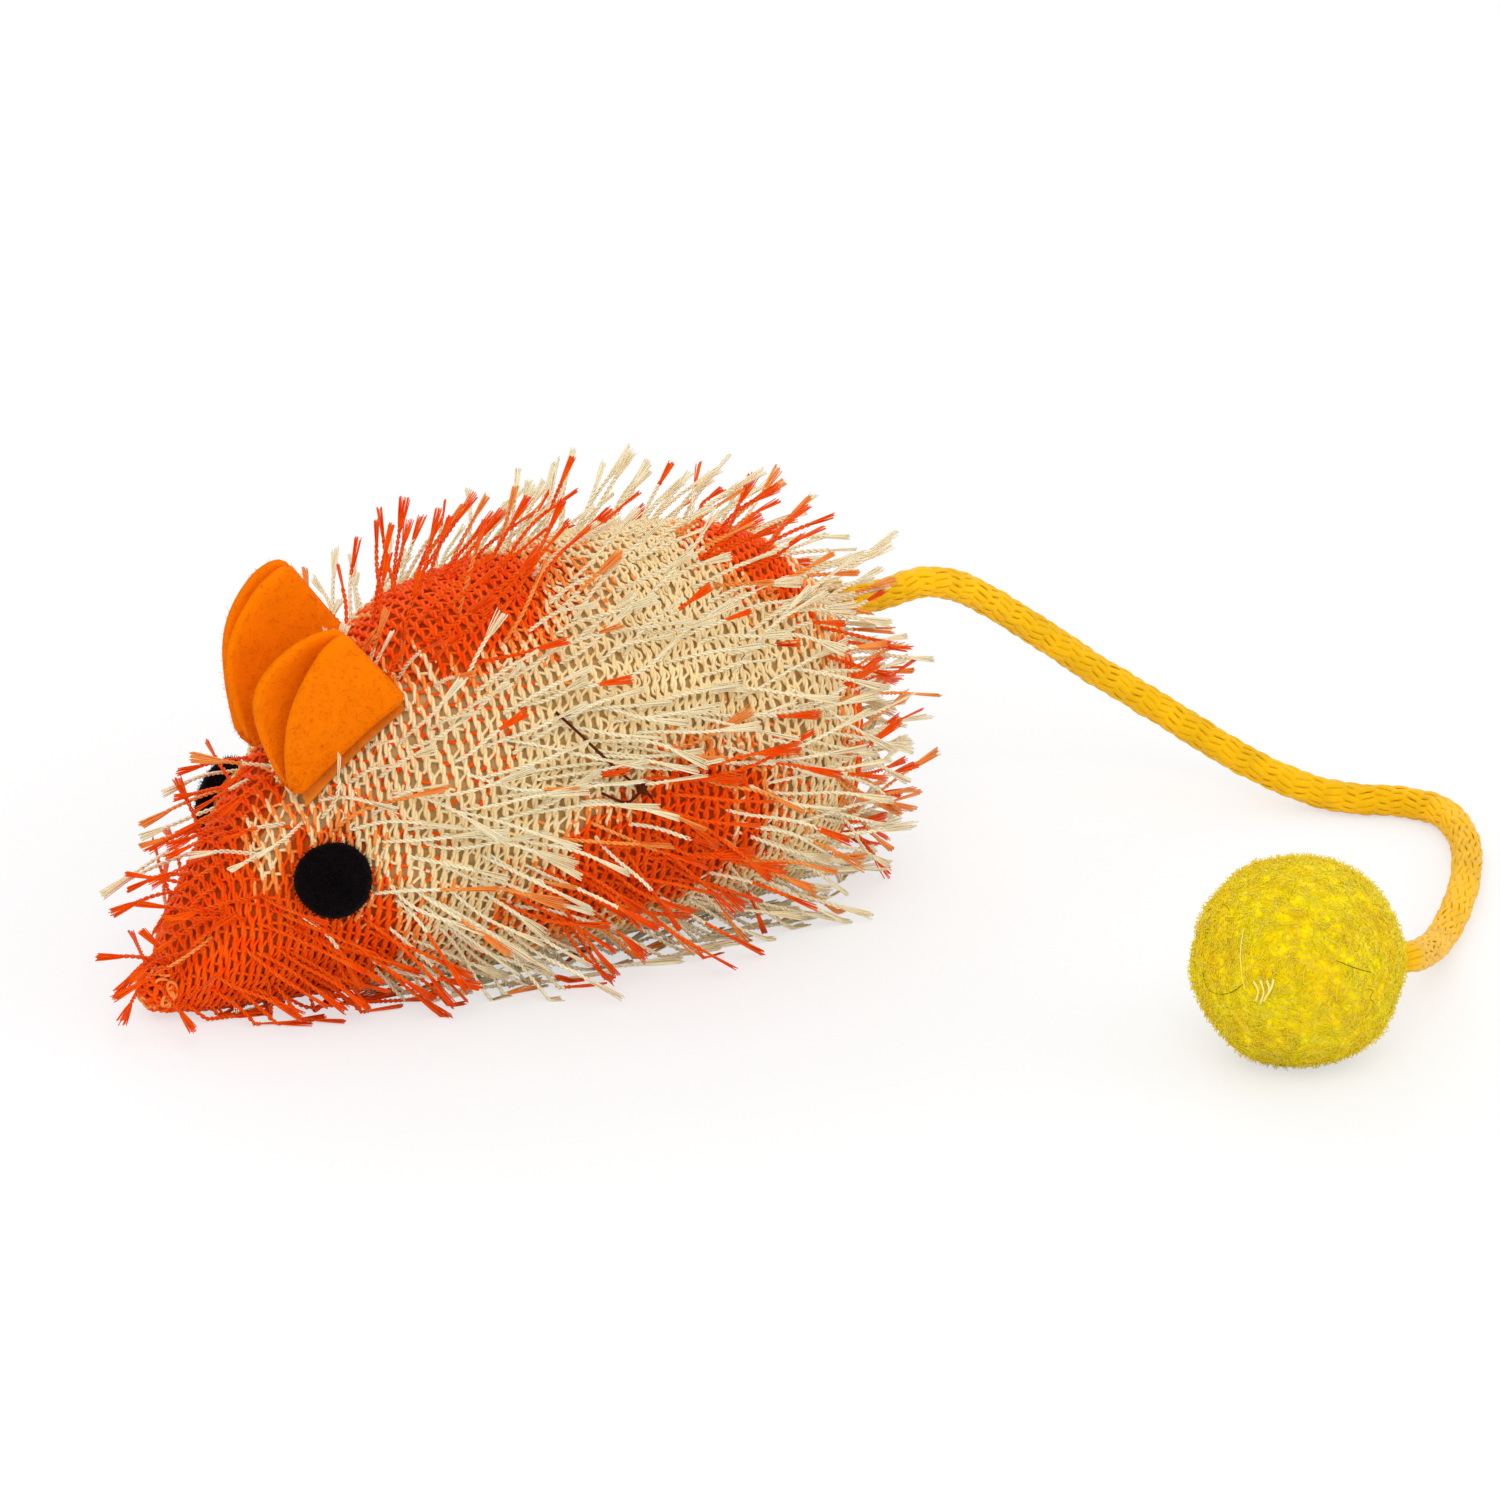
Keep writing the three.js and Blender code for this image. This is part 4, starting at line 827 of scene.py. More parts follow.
class MOUSE_OT_liner(bpy.types.Operator):
    """Fills the bag that shows through the knit"""

    bl_idname = "mouse.liner"
    bl_label = "Liner bag"

    def execute(self, context):
        ring = np.linspace(LINER_START, LAST_RING, LINER_ROWS)[:, None]
        turn = np.linspace(-math.pi, math.pi, LINER_COLUMNS + 1)[None, :-1]
        depth = np.full((1, 1), LINER_DEPTH)
        skin = skin_point(ring, turn, depth)
        quads, mouth, end = tube_faces(LINER_ROWS, LINER_COLUMNS)
        tone = colour("liner")
        cloth = Finish("liner_cloth", tone, shade(tone, 0.7), 0.85, patch=3 * MM)
        cloth.bump(cloth.weave(LINER_THREAD), 0.08 * MM).soft(0.2)
        # Painted bounce light: the liner behind the patches is painted orange for the light thrown off the
        # rust yarn
        painted_bounce_tone = linear(LINER_PAINTED_BOUNCE)
        dyed = Finish("liner_painted_bounce", painted_bounce_tone, shade(painted_bounce_tone, 0.7), 0.85, patch=3 * MM)
        dyed.bump(dyed.weave(LINER_THREAD), 0.08 * MM)
        v, s = self.cloth_places(ring[:, 0], turn[0])
        painted_bounce_faces = (patch_level(v, s)[:-1] > -PAINTED_BOUNCE_REACH).ravel()
        bag = mesh_object(
            "stuffed_liner", skin.reshape(-1, 3), [quads, mouth[:, ::-1], end],
            [cloth.material, dyed.material], np.concatenate([painted_bounce_faces, [False, False]]),
        )
        piece(bag, "mouse", "liner", "liner_bag")
        return {"FINISHED"}

    @staticmethod
    def cloth_places(rings, turns):
        """The v and s on the cloth of a grid of rings and turns"""
        v = np.interp(rings, FABRIC.rings, FABRIC.v)
        rows = np.clip(np.searchsorted(FABRIC.rings, rings), 0, len(FABRIC.rings) - 1)
        share = np.array([np.interp(np.abs(turns), FABRIC.turns[row], FABRIC.shares) for row in rows])
        s = np.sign(turns) * share * FABRIC.girth_at(v)[:, None]
        return np.broadcast_to(v[:, None], s.shape), s


# The knit

KNIT_MIDDLE = 1.0 * MM  # how deep the middle of its chains lies under the form
KNIT_FLOOR = 0.2 * MM  # the lowest that a yarn's middle lies
KNIT_START = 0.2 * MM  # along the cloth
KNIT_END_GAP = 0.5 * MM
FEWEST_COURSES = 6
WALE_HALF_WIDTH = 0.17 * MM
WALE_LIFT = 0.13 * MM
WALE_BEND = 0.35 * MM
WALE_BEND_LENGTH = 26 * MM
COURSE_SHIFT = 0.09  # of a stitch's width
DYE_STREAK = 0.9 * MM  # how far the dye runs on along single yarns
INLAY_BLEED = 3.5 * MM
INLAY_ODDS = (0.72, 0.28)  # that a lay-in yarn keeps to its patch, or bleeds
INLAY_STEEPNESS = 1.5  # how sharply it turns from one chain to the next
INLAY_PHASE = 0.4
INLAY_SWAY = 0.12  # along the course, as a share of a stitch's height
INLAY_DEPTH = KNIT_MIDDLE + 0.1 * MM
INLAY_THICKNESS = 0.9  # share of the other yarns'
KNIT_PIECES = 6
CHAIN_STEPS = 4
LAY_STEPS = 6
DYED_INLAY = (35, 13, 14, 12)  # where rust yarn lies behind cream stitches, as in the patches
DYED_INLAY_ODDS = 0.6
WELL_INSIDE = 1 * MM  # how far inside a patch that yarn counts as
# The amber along a patch's edge: how often, how far outside and inside, and points that change together
EDGE_AMBER_ODDS = 0.75
EDGE_AMBER_OUTSIDE = 3.6 * MM
EDGE_AMBER_INSIDE = 0.6 * MM
EDGE_AMBER_RUN = 4
NOSE_KNOB_STATION = 2.3 * MM
NOSE_KNOB_HEIGHT = 3.2 * MM
NOSE_KNOB_RADIUS = 2.3 * MM
NOSE_LOOPS = 34
NOSE_LOOP = (0.5, 0.85, 0.15)  # half its width, half its length and its twist, in mm
NOSE_SCATTER = (-0.1, 0.25)  # in and out, in mm
LOOP_TONE_ODDS = (0.6, 0.4)  # of rust and amber
LOOP_POINTS = 15
COLLAR_LOOPS = 15
COLLAR_RADIUS = 2.2 * MM
COLLAR_LOOP = (0.28, 0.3, 0.9)  # half its size outward, round the cord and along it, in mm
COLLAR_SCATTER = (-0.2, 0.2)  # round the cord, as shares of the space between two loops
COLLAR_PLACES = (-0.7, 0.3)  # along the cord from the root, in mm
COLLAR_YARN = 0.42  # its radius, as a share of the yarn's diameter
COLLAR_DYED_BELOW = -0.5  # how far down round the cord the dyed loops start, from -1 to 1
THREAD_TONE = (0.38, 0.16, 0.08)
THREAD_RADIUS = 0.16 * MM
# A stray brown thread on the left flank: places along the body and down from the back in mm, and lift
STRAY_THREAD = (
    (((49.6, 18.3), (51.3, 20.8), (53.4, 23.8), (56.1, 27.1), (57.1, 28.0), (58.1, 29.2)), -0.9),
    (((57.1, 28.0), (55.4, 28.8), (52.7, 27.1)), -1.0),
)
STRAY_KNOT = (57.1, 28.0, -0.9)
KNOT_LOOPS = 5
KNOT_LOOP = (0.62, 0.36)  # half its length and width, in mm
KNOT_SCATTER = 0.12  # in mm
KNOT_RADIUS = 0.17 * MM


def wale_path(v, share, depth):
    """A line on the cloth from v and the share of the way round from the back to the belly"""
    s = share * FABRIC.girth_at(v)
    ring, turn = FABRIC.place(v, s)
    p = skin_point(ring, turn, depth)
    p[..., 2] = np.maximum(p[..., 2], KNIT_FLOOR)
    return p, form_normal(ring, turn), s


class MOUSE_OT_knit(bpy.types.Operator):
    """Knits the open sleeve: chains of stitches round the body, and yarn laid in between them"""

    bl_idname = "mouse.knit"
    bl_label = "Knit sleeve"

    def execute(self, context):
        rng = np.random.default_rng(sizes().seed + 3)
        end = FABRIC.v[-1] - KNIT_END_GAP
        wales = round(end / sizes().stitch_width)
        yarns = yarn_finishes("knit", 0.55)
        strands = Strands()
        number = 0
        for k in range(wales):
            v0 = (k + 0.5) * end / wales
            courses = max(FEWEST_COURSES, round(2 * float(FABRIC.girth_at(v0)) / sizes().stitch_height))
            streak = rng.normal() * DYE_STREAK
            bend = self.chain(rng, strands, v0, courses, streak, end)
            if k < wales - 1:
                self.inlay(rng, strands, v0, courses, streak, end, bend)
            if k + 1 >= (number + 1) * wales / KNIT_PIECES:
                sleeve = strands.build(f"knit_sleeve_{number}", yarns)
                piece(sleeve, "mouse", "knit_cream", "knit_cover")
                strands = Strands()
                number += 1
        self.ends(rng, yarns)
        self.collar(rng, yarns)
        return {"FINISHED"}

    def chain(self, rng, strands, v0, courses, streak, end):
        """Both legs of one chain of stitches round the body; gives how far it bends aside"""
        t = np.linspace(0, courses, courses * CHAIN_STEPS + 1)
        share = 2 * t / courses - 1
        shift = rng.normal(size=courses + 1) * COURSE_SHIFT * sizes().stitch_width
        drift = np.interp(t, np.arange(courses + 1), shift)
        waves = np.random.default_rng(sizes().seed + 4)
        bend = wander(waves, v0, share * FABRIC.girth_at(v0), WALE_BEND_LENGTH, WALE_BEND)
        for leg in (1, -1):
            swing = leg * WALE_HALF_WIDTH * np.cos(math.pi * t)
            lift = leg * WALE_LIFT * np.sin(math.pi * t)
            v = np.clip(v0 + drift + swing + bend, KNIT_START, end)
            p, normal, s = wale_path(v, share, KNIT_MIDDLE - lift)
            level = patch_level(v, s) + streak + wander(waves, v, s, DYE_DRIFT_LENGTH, DYE_DRIFT)
            waves = np.random.default_rng(sizes().seed + 4)
            paint = self.paint(rng, level)
            strands.add(p[None], sizes().yarn / 2, sides=4, up=normal, paint=paint[:-1][None])
        return bend.mean()

    def inlay(self, rng, strands, v0, courses, streak, end, bend):
        """The yarn laid in between a chain and the next"""
        t = np.linspace(0, courses, courses * LAY_STEPS + 1)
        share = 2 * t / courses - 1
        across = 0.5 + 0.5 * np.clip(INLAY_STEEPNESS * np.sin(math.pi * t + INLAY_PHASE), -1, 1)
        v = np.clip(v0 + across * sizes().stitch_width + bend, KNIT_START, end)
        share = share + INLAY_SWAY * np.sin(2 * math.pi * t) / courses
        p, normal, s = wale_path(v, share, INLAY_DEPTH)
        bled = rng.choice((0.0, INLAY_BLEED), size=courses + 1, p=INLAY_ODDS)[t.astype(int)]
        level = patch_level(v, s) + streak + bled
        along, away, half_length, half_width = DYED_INLAY
        reach = np.hypot((v / MM - along) / half_length, (s / MM - away) / half_width)
        dyed = (rng.uniform(size=courses + 1) < DYED_INLAY_ODDS)[t.astype(int)] & (reach < 1)
        paint = self.paint(rng, np.where(dyed, WELL_INSIDE, level))
        radius = sizes().yarn / 2 * INLAY_THICKNESS
        strands.add(p[None], radius, sides=4, up=normal, paint=paint[:-1][None])

    @staticmethod
    def ends(rng, yarns):
        """The knob of loops at the nose, and a stray brown thread"""
        strands = Strands()
        radius = sizes().yarn / 2
        turn = np.linspace(0, 2 * math.pi, LOOP_POINTS)[:, None]
        knob = np.array((NOSE_KNOB_STATION - BODY_LENGTH / 2, 0, NOSE_KNOB_HEIGHT))
        out = even_directions(NOSE_LOOPS * 2)
        out = out[out[:, 0] < -0.05]
        for way in out:
            first = unit(np.cross(way, rng.normal(size=3)))
            middle = knob + way * (NOSE_KNOB_RADIUS + rng.uniform(*NOSE_SCATTER) * MM)
            width, length, twist = NOSE_LOOP
            loop = np.cos(turn) * first * width * MM + np.sin(turn) * np.cross(way, first) * length * MM
            path = middle + loop + way * np.sin(turn * 2) * twist * MM
            path[:, 2] = np.maximum(path[:, 2], radius)
            paint = rng.choice((RUST, AMBER), p=LOOP_TONE_ODDS)
            strands.add(path[None], radius * 0.9, sides=5, up=way, paint=paint)
        thread = linear(THREAD_TONE)
        brown = Finish("stray_thread", thread, shade(thread, 0.6), 0.5).material
        for line, lift in STRAY_THREAD:
            v, s = np.array(line).T * MM
            place = FABRIC.point(v, s, np.full(v.shape, lift * MM))
            path = spline(place, np.linspace(0, len(line) - 1, 24))
            out = unit(path - (0, 0, BODY_HEIGHT / 2))
            strands.add(path[None], THREAD_RADIUS, sides=5, up=out, paint=len(yarns))
        knot = FABRIC.point(*(np.array([a]) * MM for a in STRAY_KNOT))[0]
        for _ in range(KNOT_LOOPS):
            first, second = unit(rng.normal(size=(2, 3)))
            second = unit(second - first * np.dot(first, second))
            length, width = KNOT_LOOP
            loop = np.cos(turn) * first * length * MM + np.sin(turn) * second * width * MM
            path = knot + loop + rng.normal(size=3) * KNOT_SCATTER * MM
            strands.add(path[None], KNOT_RADIUS, sides=5, up=(0, 0, 1), paint=len(yarns))
        piece(strands.build("sleeve_ends", [*yarns, brown]), "mouse", "knit_cream", "knit_cover")

    @staticmethod
    def collar(rng, yarns):
        """The loops that close round the tail's root"""
        strands = Strands()
        turn = np.linspace(0, 2 * math.pi, LOOP_POINTS)[:, None]
        route, _ = tail_route()
        along = unit(route[4] - route[0])
        across = unit(np.cross(along, (0, 0, 1)))
        up = np.cross(across, along)
        root = np.array(TAIL_ROOT)
        for i in range(COLLAR_LOOPS):
            spin = 2 * math.pi * (i + rng.uniform(*COLLAR_SCATTER)) / COLLAR_LOOPS
            out = across * math.cos(spin) + up * math.sin(spin)
            middle = root + out * COLLAR_RADIUS + along * rng.uniform(*COLLAR_PLACES) * MM
            outward, sideways, lengthways = COLLAR_LOOP
            loop = np.cos(turn) * (out * outward + np.cross(along, out) * sideways) * MM
            loop = loop + np.sin(turn) * along * lengthways * MM
            dyed = math.sin(spin) < COLLAR_DYED_BELOW
            paint = rng.choice((RUST, AMBER), p=LOOP_TONE_ODDS) if dyed else CREAM
            strands.add((middle + loop)[None], sizes().yarn * COLLAR_YARN, sides=5, up=out, paint=paint)
        collar = strands.build("tail_collar", yarns)
        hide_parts("knit_cover")
        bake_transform(collar)

    @staticmethod
    def paint(rng, level):
        """Rust inside the patches, cream outside, and amber in places along the edge"""
        near = np.clip(1 + level / EDGE_AMBER_OUTSIDE, 0, 1)
        chance = EDGE_AMBER_ODDS * near * (level < EDGE_AMBER_INSIDE)
        paint = np.where(level > 0, RUST, CREAM)
        drawn = rng.uniform(size=len(level) // EDGE_AMBER_RUN + 1)
        faded = np.repeat(drawn, EDGE_AMBER_RUN)[: len(level)] < chance
        return np.where(faded, AMBER, paint)


# The ears and eyes

EAR_STATION = 15 * MM
EAR_RUN = 10.1 * MM
EAR_HEIGHT = 12 * MM
EAR_FOOT_HEIGHT = 1.8 * MM
EAR_FOLD_RADIUS = 1 * MM
EAR_FOLD_SHARE = 0.22  # of each half of the felt that lies in the fold
EAR_MOUTH = 1.3 * MM
EAR_STEP = 1 * MM  # how much further forward the inner flap's front edge is
EAR_CLOSING_SHARE = 0.28  # how much closer the flaps are at their tops
EAR_CORNER_START = 0.78  # where along it the back corner's rounding starts
EAR_CORNER_RUN = 0.22  # and how long that is
EAR_CORNER_SHARE = 0.09  # how much of its height an ear loses there
EAR_LEAN = 0.6 * MM
EAR_SPREAD = math.radians(22)  # of each ear from between them, round the body
EAR_ROLL = math.radians(9)  # how far both sit to the left of the top
EAR_DEPTH = -0.85 * MM
EDGE_REACH = 0.45  # how far the felt's edge is rounded, as a share of its thickness
EDGE_HALF = 0.42  # half its thickness beside the edge, as a share of the whole
EAR_ROWS = 41
EAR_COLUMNS = 25
EYE_STATION = 15.8 * MM
EYE_ANGLE = math.radians(75)
EYE_RADIUS = 3.9 * MM
EYE_THICKNESS = 1.7 * MM
EYE_DEPTH = -0.2 * MM
# The dot's outline from the middle of its face to that of its foot: shares of its radius and thickness
EYE_OUTLINE = (
    (0, 1), (0.25, 0.99), (0.5, 0.96), (0.7, 0.9), (0.85, 0.8), (0.95, 0.62), (1, 0.4), (0.99, 0.18),
    (0.95, 0.04), (0.7, 0), (0.01, 0),
)
EYE_SIDES = 56
EYE_OVAL = 0.015  # of its radius
EYE_UNEVEN = 0.008
EYE_GRAIN = 0.02  # in mm
EYE_FUZZ_ROWS = 7.99  # of the outline that carry fuzz
FUZZ_RADIUS = 0.022 * MM
FUZZ_TAPER = (1.1, 0.9, 0.4)
FUZZ_SCATTER = 0.9
FUZZ_LIFT = 0.2
FUZZ_LENGTHS = (0.4, 1.2)  # as shares of the usual length
FUZZ_CURL = 0.3
FUZZ_BEND = 0.6  # share of the curl at a fibre's end
EAR_FUZZ = 1300  # fibres on each face
EAR_FUZZ_LENGTH = 0.55 * MM
EYE_FUZZ = 1500
EYE_FUZZ_LENGTH = 0.4 * MM


def ring_at(station):
    """The ring some way behind the nose tip"""
    along = form_point(FABRIC.rings, np.zeros(len(FABRIC.rings)))[:, 0] + BODY_LENGTH / 2
    return np.interp(station, along, FABRIC.rings)


def ear_grid(rows, columns):
    """Places across and along the felt of an ear, as its surface takes them"""
    across = np.linspace(-1, 1, rows)[:, None] * np.ones((1, columns))
    share = np.ones((rows, 1)) * np.linspace(0, 1, columns)[None, :]
    return across, share


def ear_surface(side, across, share):
    """The middle of the felt: across runs from one edge over the fold to the other, share to the back"""
    bend = np.clip(across / EAR_FOLD_SHARE, -1, 1)
    flap = np.sign(across) * ramp(np.abs(across), EAR_FOLD_SHARE, 1 - EAR_FOLD_SHARE)
    ring = ring_at(EAR_STATION + EAR_RUN * share)
    turn = np.full(ring.shape, EAR_ROLL + EAR_SPREAD * side)
    base = skin_point(ring, turn, np.full(ring.shape, EAR_DEPTH))
    rise = unit(form_normal(ring, turn) * (1, 0, 1))
    angle = bend * math.pi / 2
    full = EAR_FOOT_HEIGHT + (EAR_HEIGHT - EAR_FOOT_HEIGHT) * (1 - (1 - share) ** 3)
    full = full * (1 - EAR_CORNER_SHARE * ramp(share, EAR_CORNER_START, EAR_CORNER_RUN) ** 2)
    height = EAR_FOLD_RADIUS * (1 - np.cos(angle)) + np.abs(flap) * (full - EAR_FOLD_RADIUS)
    lift = height / EAR_HEIGHT
    lens = np.sin(math.pi * share) * flap
    closing = 1 - EAR_CLOSING_SHARE * np.abs(flap) * lift
    away = EAR_FOLD_RADIUS * np.sin(angle) * closing + EAR_MOUTH * lens - EAR_LEAN * lift
    shift = np.stack([-side * EAR_STEP * lens, away, np.zeros(away.shape)], axis=-1)
    return base + rise * height[..., None] + shift


def thick_sheet(points, thickness):
    """Vertices and faces of a soft sheet round a grid of points, with a rounded edge"""
    p = np.pad(points, ((1, 1), (1, 1), (0, 0)), mode="edge")
    edge = thickness * EDGE_REACH
    p[0, 1:-1] += unit(points[0] - points[1]) * edge
    p[-1, 1:-1] += unit(points[-1] - points[-2]) * edge
    p[:, 0] += unit(p[:, 1] - p[:, 2]) * edge
    p[:, -1] += unit(p[:, -2] - p[:, -3]) * edge
    rows, columns = p.shape[:2]
    normal = unit(np.cross(np.gradient(p, axis=0), np.gradient(p, axis=1)))
    half = np.full((rows, columns), thickness / 2)
    half[1, :] = half[-2, :] = half[:, 1] = half[:, -2] = thickness * EDGE_HALF
    half[0, :] = half[-1, :] = half[:, 0] = half[:, -1] = 0
    front = p + normal * half[..., None]
    back = p - normal * half[..., None]
    number = np.arange(rows * columns).reshape(rows, columns)
    behind = number + rows * columns
    rim = np.zeros((rows, columns), bool)
    rim[0] = rim[-1] = rim[:, 0] = rim[:, -1] = True
    behind = np.where(rim, number, behind)
    both = np.concatenate([sheet_faces(number), sheet_faces(behind)[:, ::-1]])
    used, faces = np.unique(both, return_inverse=True)
    vertices = np.concatenate([front.reshape(-1, 3), back.reshape(-1, 3)])[used]
    return vertices, faces.reshape(-1, 4), (front, back, normal)


def fuzz(rng, strands, roots, normals, length):
    """Short loose fibres that stand off felt"""
    count = len(roots)
    way = unit(normals + rng.normal(size=normals.shape) * FUZZ_SCATTER)
    way = unit(way + normals * FUZZ_LIFT)
    u = np.linspace(0, 1, len(FUZZ_TAPER))[None, :, None]
    reach = (length * rng.uniform(*FUZZ_LENGTHS, size=count))[:, None, None]
    curl = rng.normal(size=(count, 1, 3)) * FUZZ_CURL
    path = roots[:, None] + (way[:, None] * u + curl * u**2 * FUZZ_BEND) * reach
    taper = FUZZ_RADIUS * np.array([FUZZ_TAPER])
    strands.add(path, taper, sides=3, up=(0.3, 0.5, 0.8), paint=np.zeros(count, int))


def eye_seat(side):
    """Where an eye lies, and the way it looks"""
    ring, turn = np.array(ring_at(EYE_STATION)), np.array(EYE_ANGLE * side)
    return skin_point(ring, turn, np.array(EYE_DEPTH)), form_normal(ring, turn)


class MOUSE_OT_felt(bpy.types.Operator):
    """Cuts the folded felt ears and the felt dots of the eyes"""

    bl_idname = "mouse.felt"
    bl_label = "Felt ears and eyes"

    def execute(self, context):
        rng = np.random.default_rng(sizes().seed + 5)
        orange, black = colour("ear_felt"), colour("eye_felt")
        ear_felt = Finish("ear_felt", orange, shade(orange, 0.84), 0.9, patch=1.6 * MM, contrast=0.75)
        ear_felt.bump(ear_felt.noise(0.25 * MM, 4), 0.1 * MM).soft(0.12, tint=orange)
        eye_felt = Finish("eye_felt", black, shade(black, 0.4), 0.95, patch=0.6 * MM)
        eye_felt.bump(eye_felt.noise(0.22 * MM, 4), 0.2 * MM, 0.9).soft(0.04)
        for name, side in SIDES.items():
            self.ear(rng, name, side, ear_felt.material)
            self.eye(rng, name, side, eye_felt.material)
        return {"FINISHED"}

    @staticmethod
    def ear(rng, name, side, material):
        """One folded sheet of felt, with fuzz on both its faces"""
        middle = ear_surface(side, *ear_grid(EAR_ROWS, EAR_COLUMNS))
        vertices, faces, (front, back, normal) = thick_sheet(middle, sizes().felt)
        felt = mesh_object(f"{name}_felt_ear", vertices, faces, [material])
        piece(felt, "mouse", "felt_orange", f"{name}_ear")
        strands = Strands()
        for face, way in ((front, 1), (back, -1)):
            row = rng.uniform(0, face.shape[0] - 1.001, EAR_FUZZ)
            column = rng.uniform(0, face.shape[1] - 1.001, EAR_FUZZ)
            i, j = row.astype(int), column.astype(int)
            a, b = (row - i)[:, None], (column - j)[:, None]
            roots = (
                face[i, j] * (1 - a) * (1 - b) + face[i + 1, j] * a * (1 - b)
                + face[i, j + 1] * (1 - a) * b + face[i + 1, j + 1] * a * b
            )
            fuzz(rng, strands, roots, normal[i, j] * way, EAR_FUZZ_LENGTH)
        piece(strands.build(f"{name}_ear_fuzz", [material]), "mouse", "felt_orange", f"{name}_ear")

    @staticmethod
    def eye(rng, name, side, material):
        """One crowned dot of felt and its fuzz"""
        base, normal = eye_seat(side)
        flat = unit(np.cross(normal, (0, 0, 1)))
        up = np.cross(flat, normal)
        profile = np.array(EYE_OUTLINE)
        turns = np.linspace(0, 2 * math.pi, EYE_SIDES + 1)[:-1]
        wobble = 1 + EYE_OVAL * np.sin(turns * 3 + 1) + EYE_UNEVEN * rng.normal(size=len(turns))
        away = profile[:, :1] * EYE_RADIUS * wobble
        height = profile[:, 1:] * EYE_THICKNESS + rng.normal(size=away.shape) * EYE_GRAIN * MM
        p = (
            base + flat * (away * np.cos(turns))[..., None] + up * (away * np.sin(turns))[..., None]
            + normal * height[..., None]
        )
        quads, _, foot = tube_faces(*away.shape)
        faces = [quads[:, ::-1], foot[:, ::-1]]
        eye = mesh_object(f"{name}_felt_eye", p.reshape(-1, 3), faces, [material])
        piece(eye, "mouse", "felt_black", f"{name}_eye")
        pick = rng.uniform(0, EYE_FUZZ_ROWS, EYE_FUZZ)
        spin = rng.uniform(0, len(turns), EYE_FUZZ).astype(int)
        low, part = pick.astype(int), (pick % 1)[:, None]
        roots = p[low, spin] * (1 - part) + p[low + 1, spin] * part
        out = unit(roots - base + normal * 0.5 * MM)
        strands = Strands()
        fuzz(rng, strands, roots, out, EYE_FUZZ_LENGTH)
        piece(strands.build(f"{name}_eye_fuzz", [material]), "mouse", "felt_black", f"{name}_eye")


# The eyelashes

LASH_ROWS = (0.8 * MM, 1 * MM)  # how close their first and last rows are to the cloth's ends
LASH_ENDS = (0.4 * MM, 0.6 * MM)  # and how close single lashes are
FEWEST_LASHES = 3  # in a row
LASH_POINTS = 30
LASH_ROOT_DEPTH = 0.9 * MM
LASH_SCATTER = 0.28  # of their pitch
LASH_UNEVEN = 0.13  # spread of their lengths
LASH_WAVE = 0.55 * MM
LASH_TWIST_PITCH = 1.35 * MM
LASH_FLOOR = 0.35 * MM  # the lowest that a lash's middle lies
LASH_TRIES = 6
LASH_SAG = (0.02, 0.16)  # of its length
LASH_SIDEWAYS = 0.09
LASH_WEIGHT = 0.04  # how far a tip is drawn down, as a share of its length
LASH_WAVES = 5  # radians of the wave along a lash
DOWN_STEP = 0.4 * MM  # to both sides of a root, which shows the way down
LASHED_SHARE = 0.985  # of the way round from the back to the belly
LASHED_HEIGHT = 1.2 * MM  # over the floor
LASHED_SLOPE = -0.3  # how far down the cloth may look where it is lower
THIN_BACK_START = 24 * MM
THIN_BACK_SHARE = 0.4
BACK_THINNING = 0.24  # share of the lashes that is missing on the back behind the ears
OTHER_THINNING = 0.08  # and elsewhere
SHORT_BACK_SHARE = 0.3
BACK_LENGTH = 0.74  # shorter lashes, as shares of the middling length
END_LENGTH = 0.85
SHORT_HEAD_END = 20 * MM
SHORT_RUMP_START = 90 * MM
BRUSH_FIBRES = 12
BRUSH_TAPER = (1.0, 1.1, 1.15, 1.1, 0.9)
BRUSH_FIBRE_RADIUS = 0.066 * MM
BRUSH_SHARE = 0.7  # of a lash's length before it opens
BRUSH_START = int(LASH_POINTS * BRUSH_SHARE)
BRUSH_HALF_WIDTH = 0.54 * MM
BRUSH_WIDTHS = (0.5, 1.25)  # of single lashes, as shares
BRUSH_LENGTHS = (0.9, 1.06)
BRUSH_JITTER = 0.07
BRUSH_THICKNESS = 0.22
BRUSH_FOOT = 0.2  # share of its width that it starts with
BRUSH_OPENING = 0.7  # the power by which it opens
BRUSH_OVERLAP = 0.8 * MM
BRUSH_FLOOR = 0.15 * MM
EAR_CLEARANCE = 1.0 * MM
CLEAR_GRID = (17, 13)  # points across and along an ear that lashes keep off
EYE_CLEARANCE = 1.3 * MM
TAIL_CLEARANCE = 1.1 * MM
TAIL_SWING = 45  # degrees to either side
SWING_STEPS = 9
TAIL_ROOT_POINTS = 36  # of the route that the lashes leave free
# How far ahead of its root a lash took its dye: places along the cloth and distances, in mm
DYE_AHEAD = ((26, 30, 80, 86), (0, 3, 3, 6))
DYE_UNEVEN = 0.6 * MM
AMBER_FOOT_REACH = 0.8 * MM  # to both sides of a patch's edge
AMBER_FOOT_ODDS = 0.5
DYED_TIP_REACH = 5 * MM  # outside a patch
DYED_TIP_ODDS = (0.05, 0.4)  # far from the patches, and how much more beside one
DYED_TIP_TONE_ODDS = (0.55, 0.45)  # of rust and amber
PALE_FOOT_ODDS = 0.12
COLOUR_CHANGE = (0.35, 0.9)  # where along a lash the tip's colour starts
NOSE_END = 14 * MM  # where the pieces of the eyelashes meet
BACK_MIDDLE = 55 * MM
FLANK_SHARE = 0.42
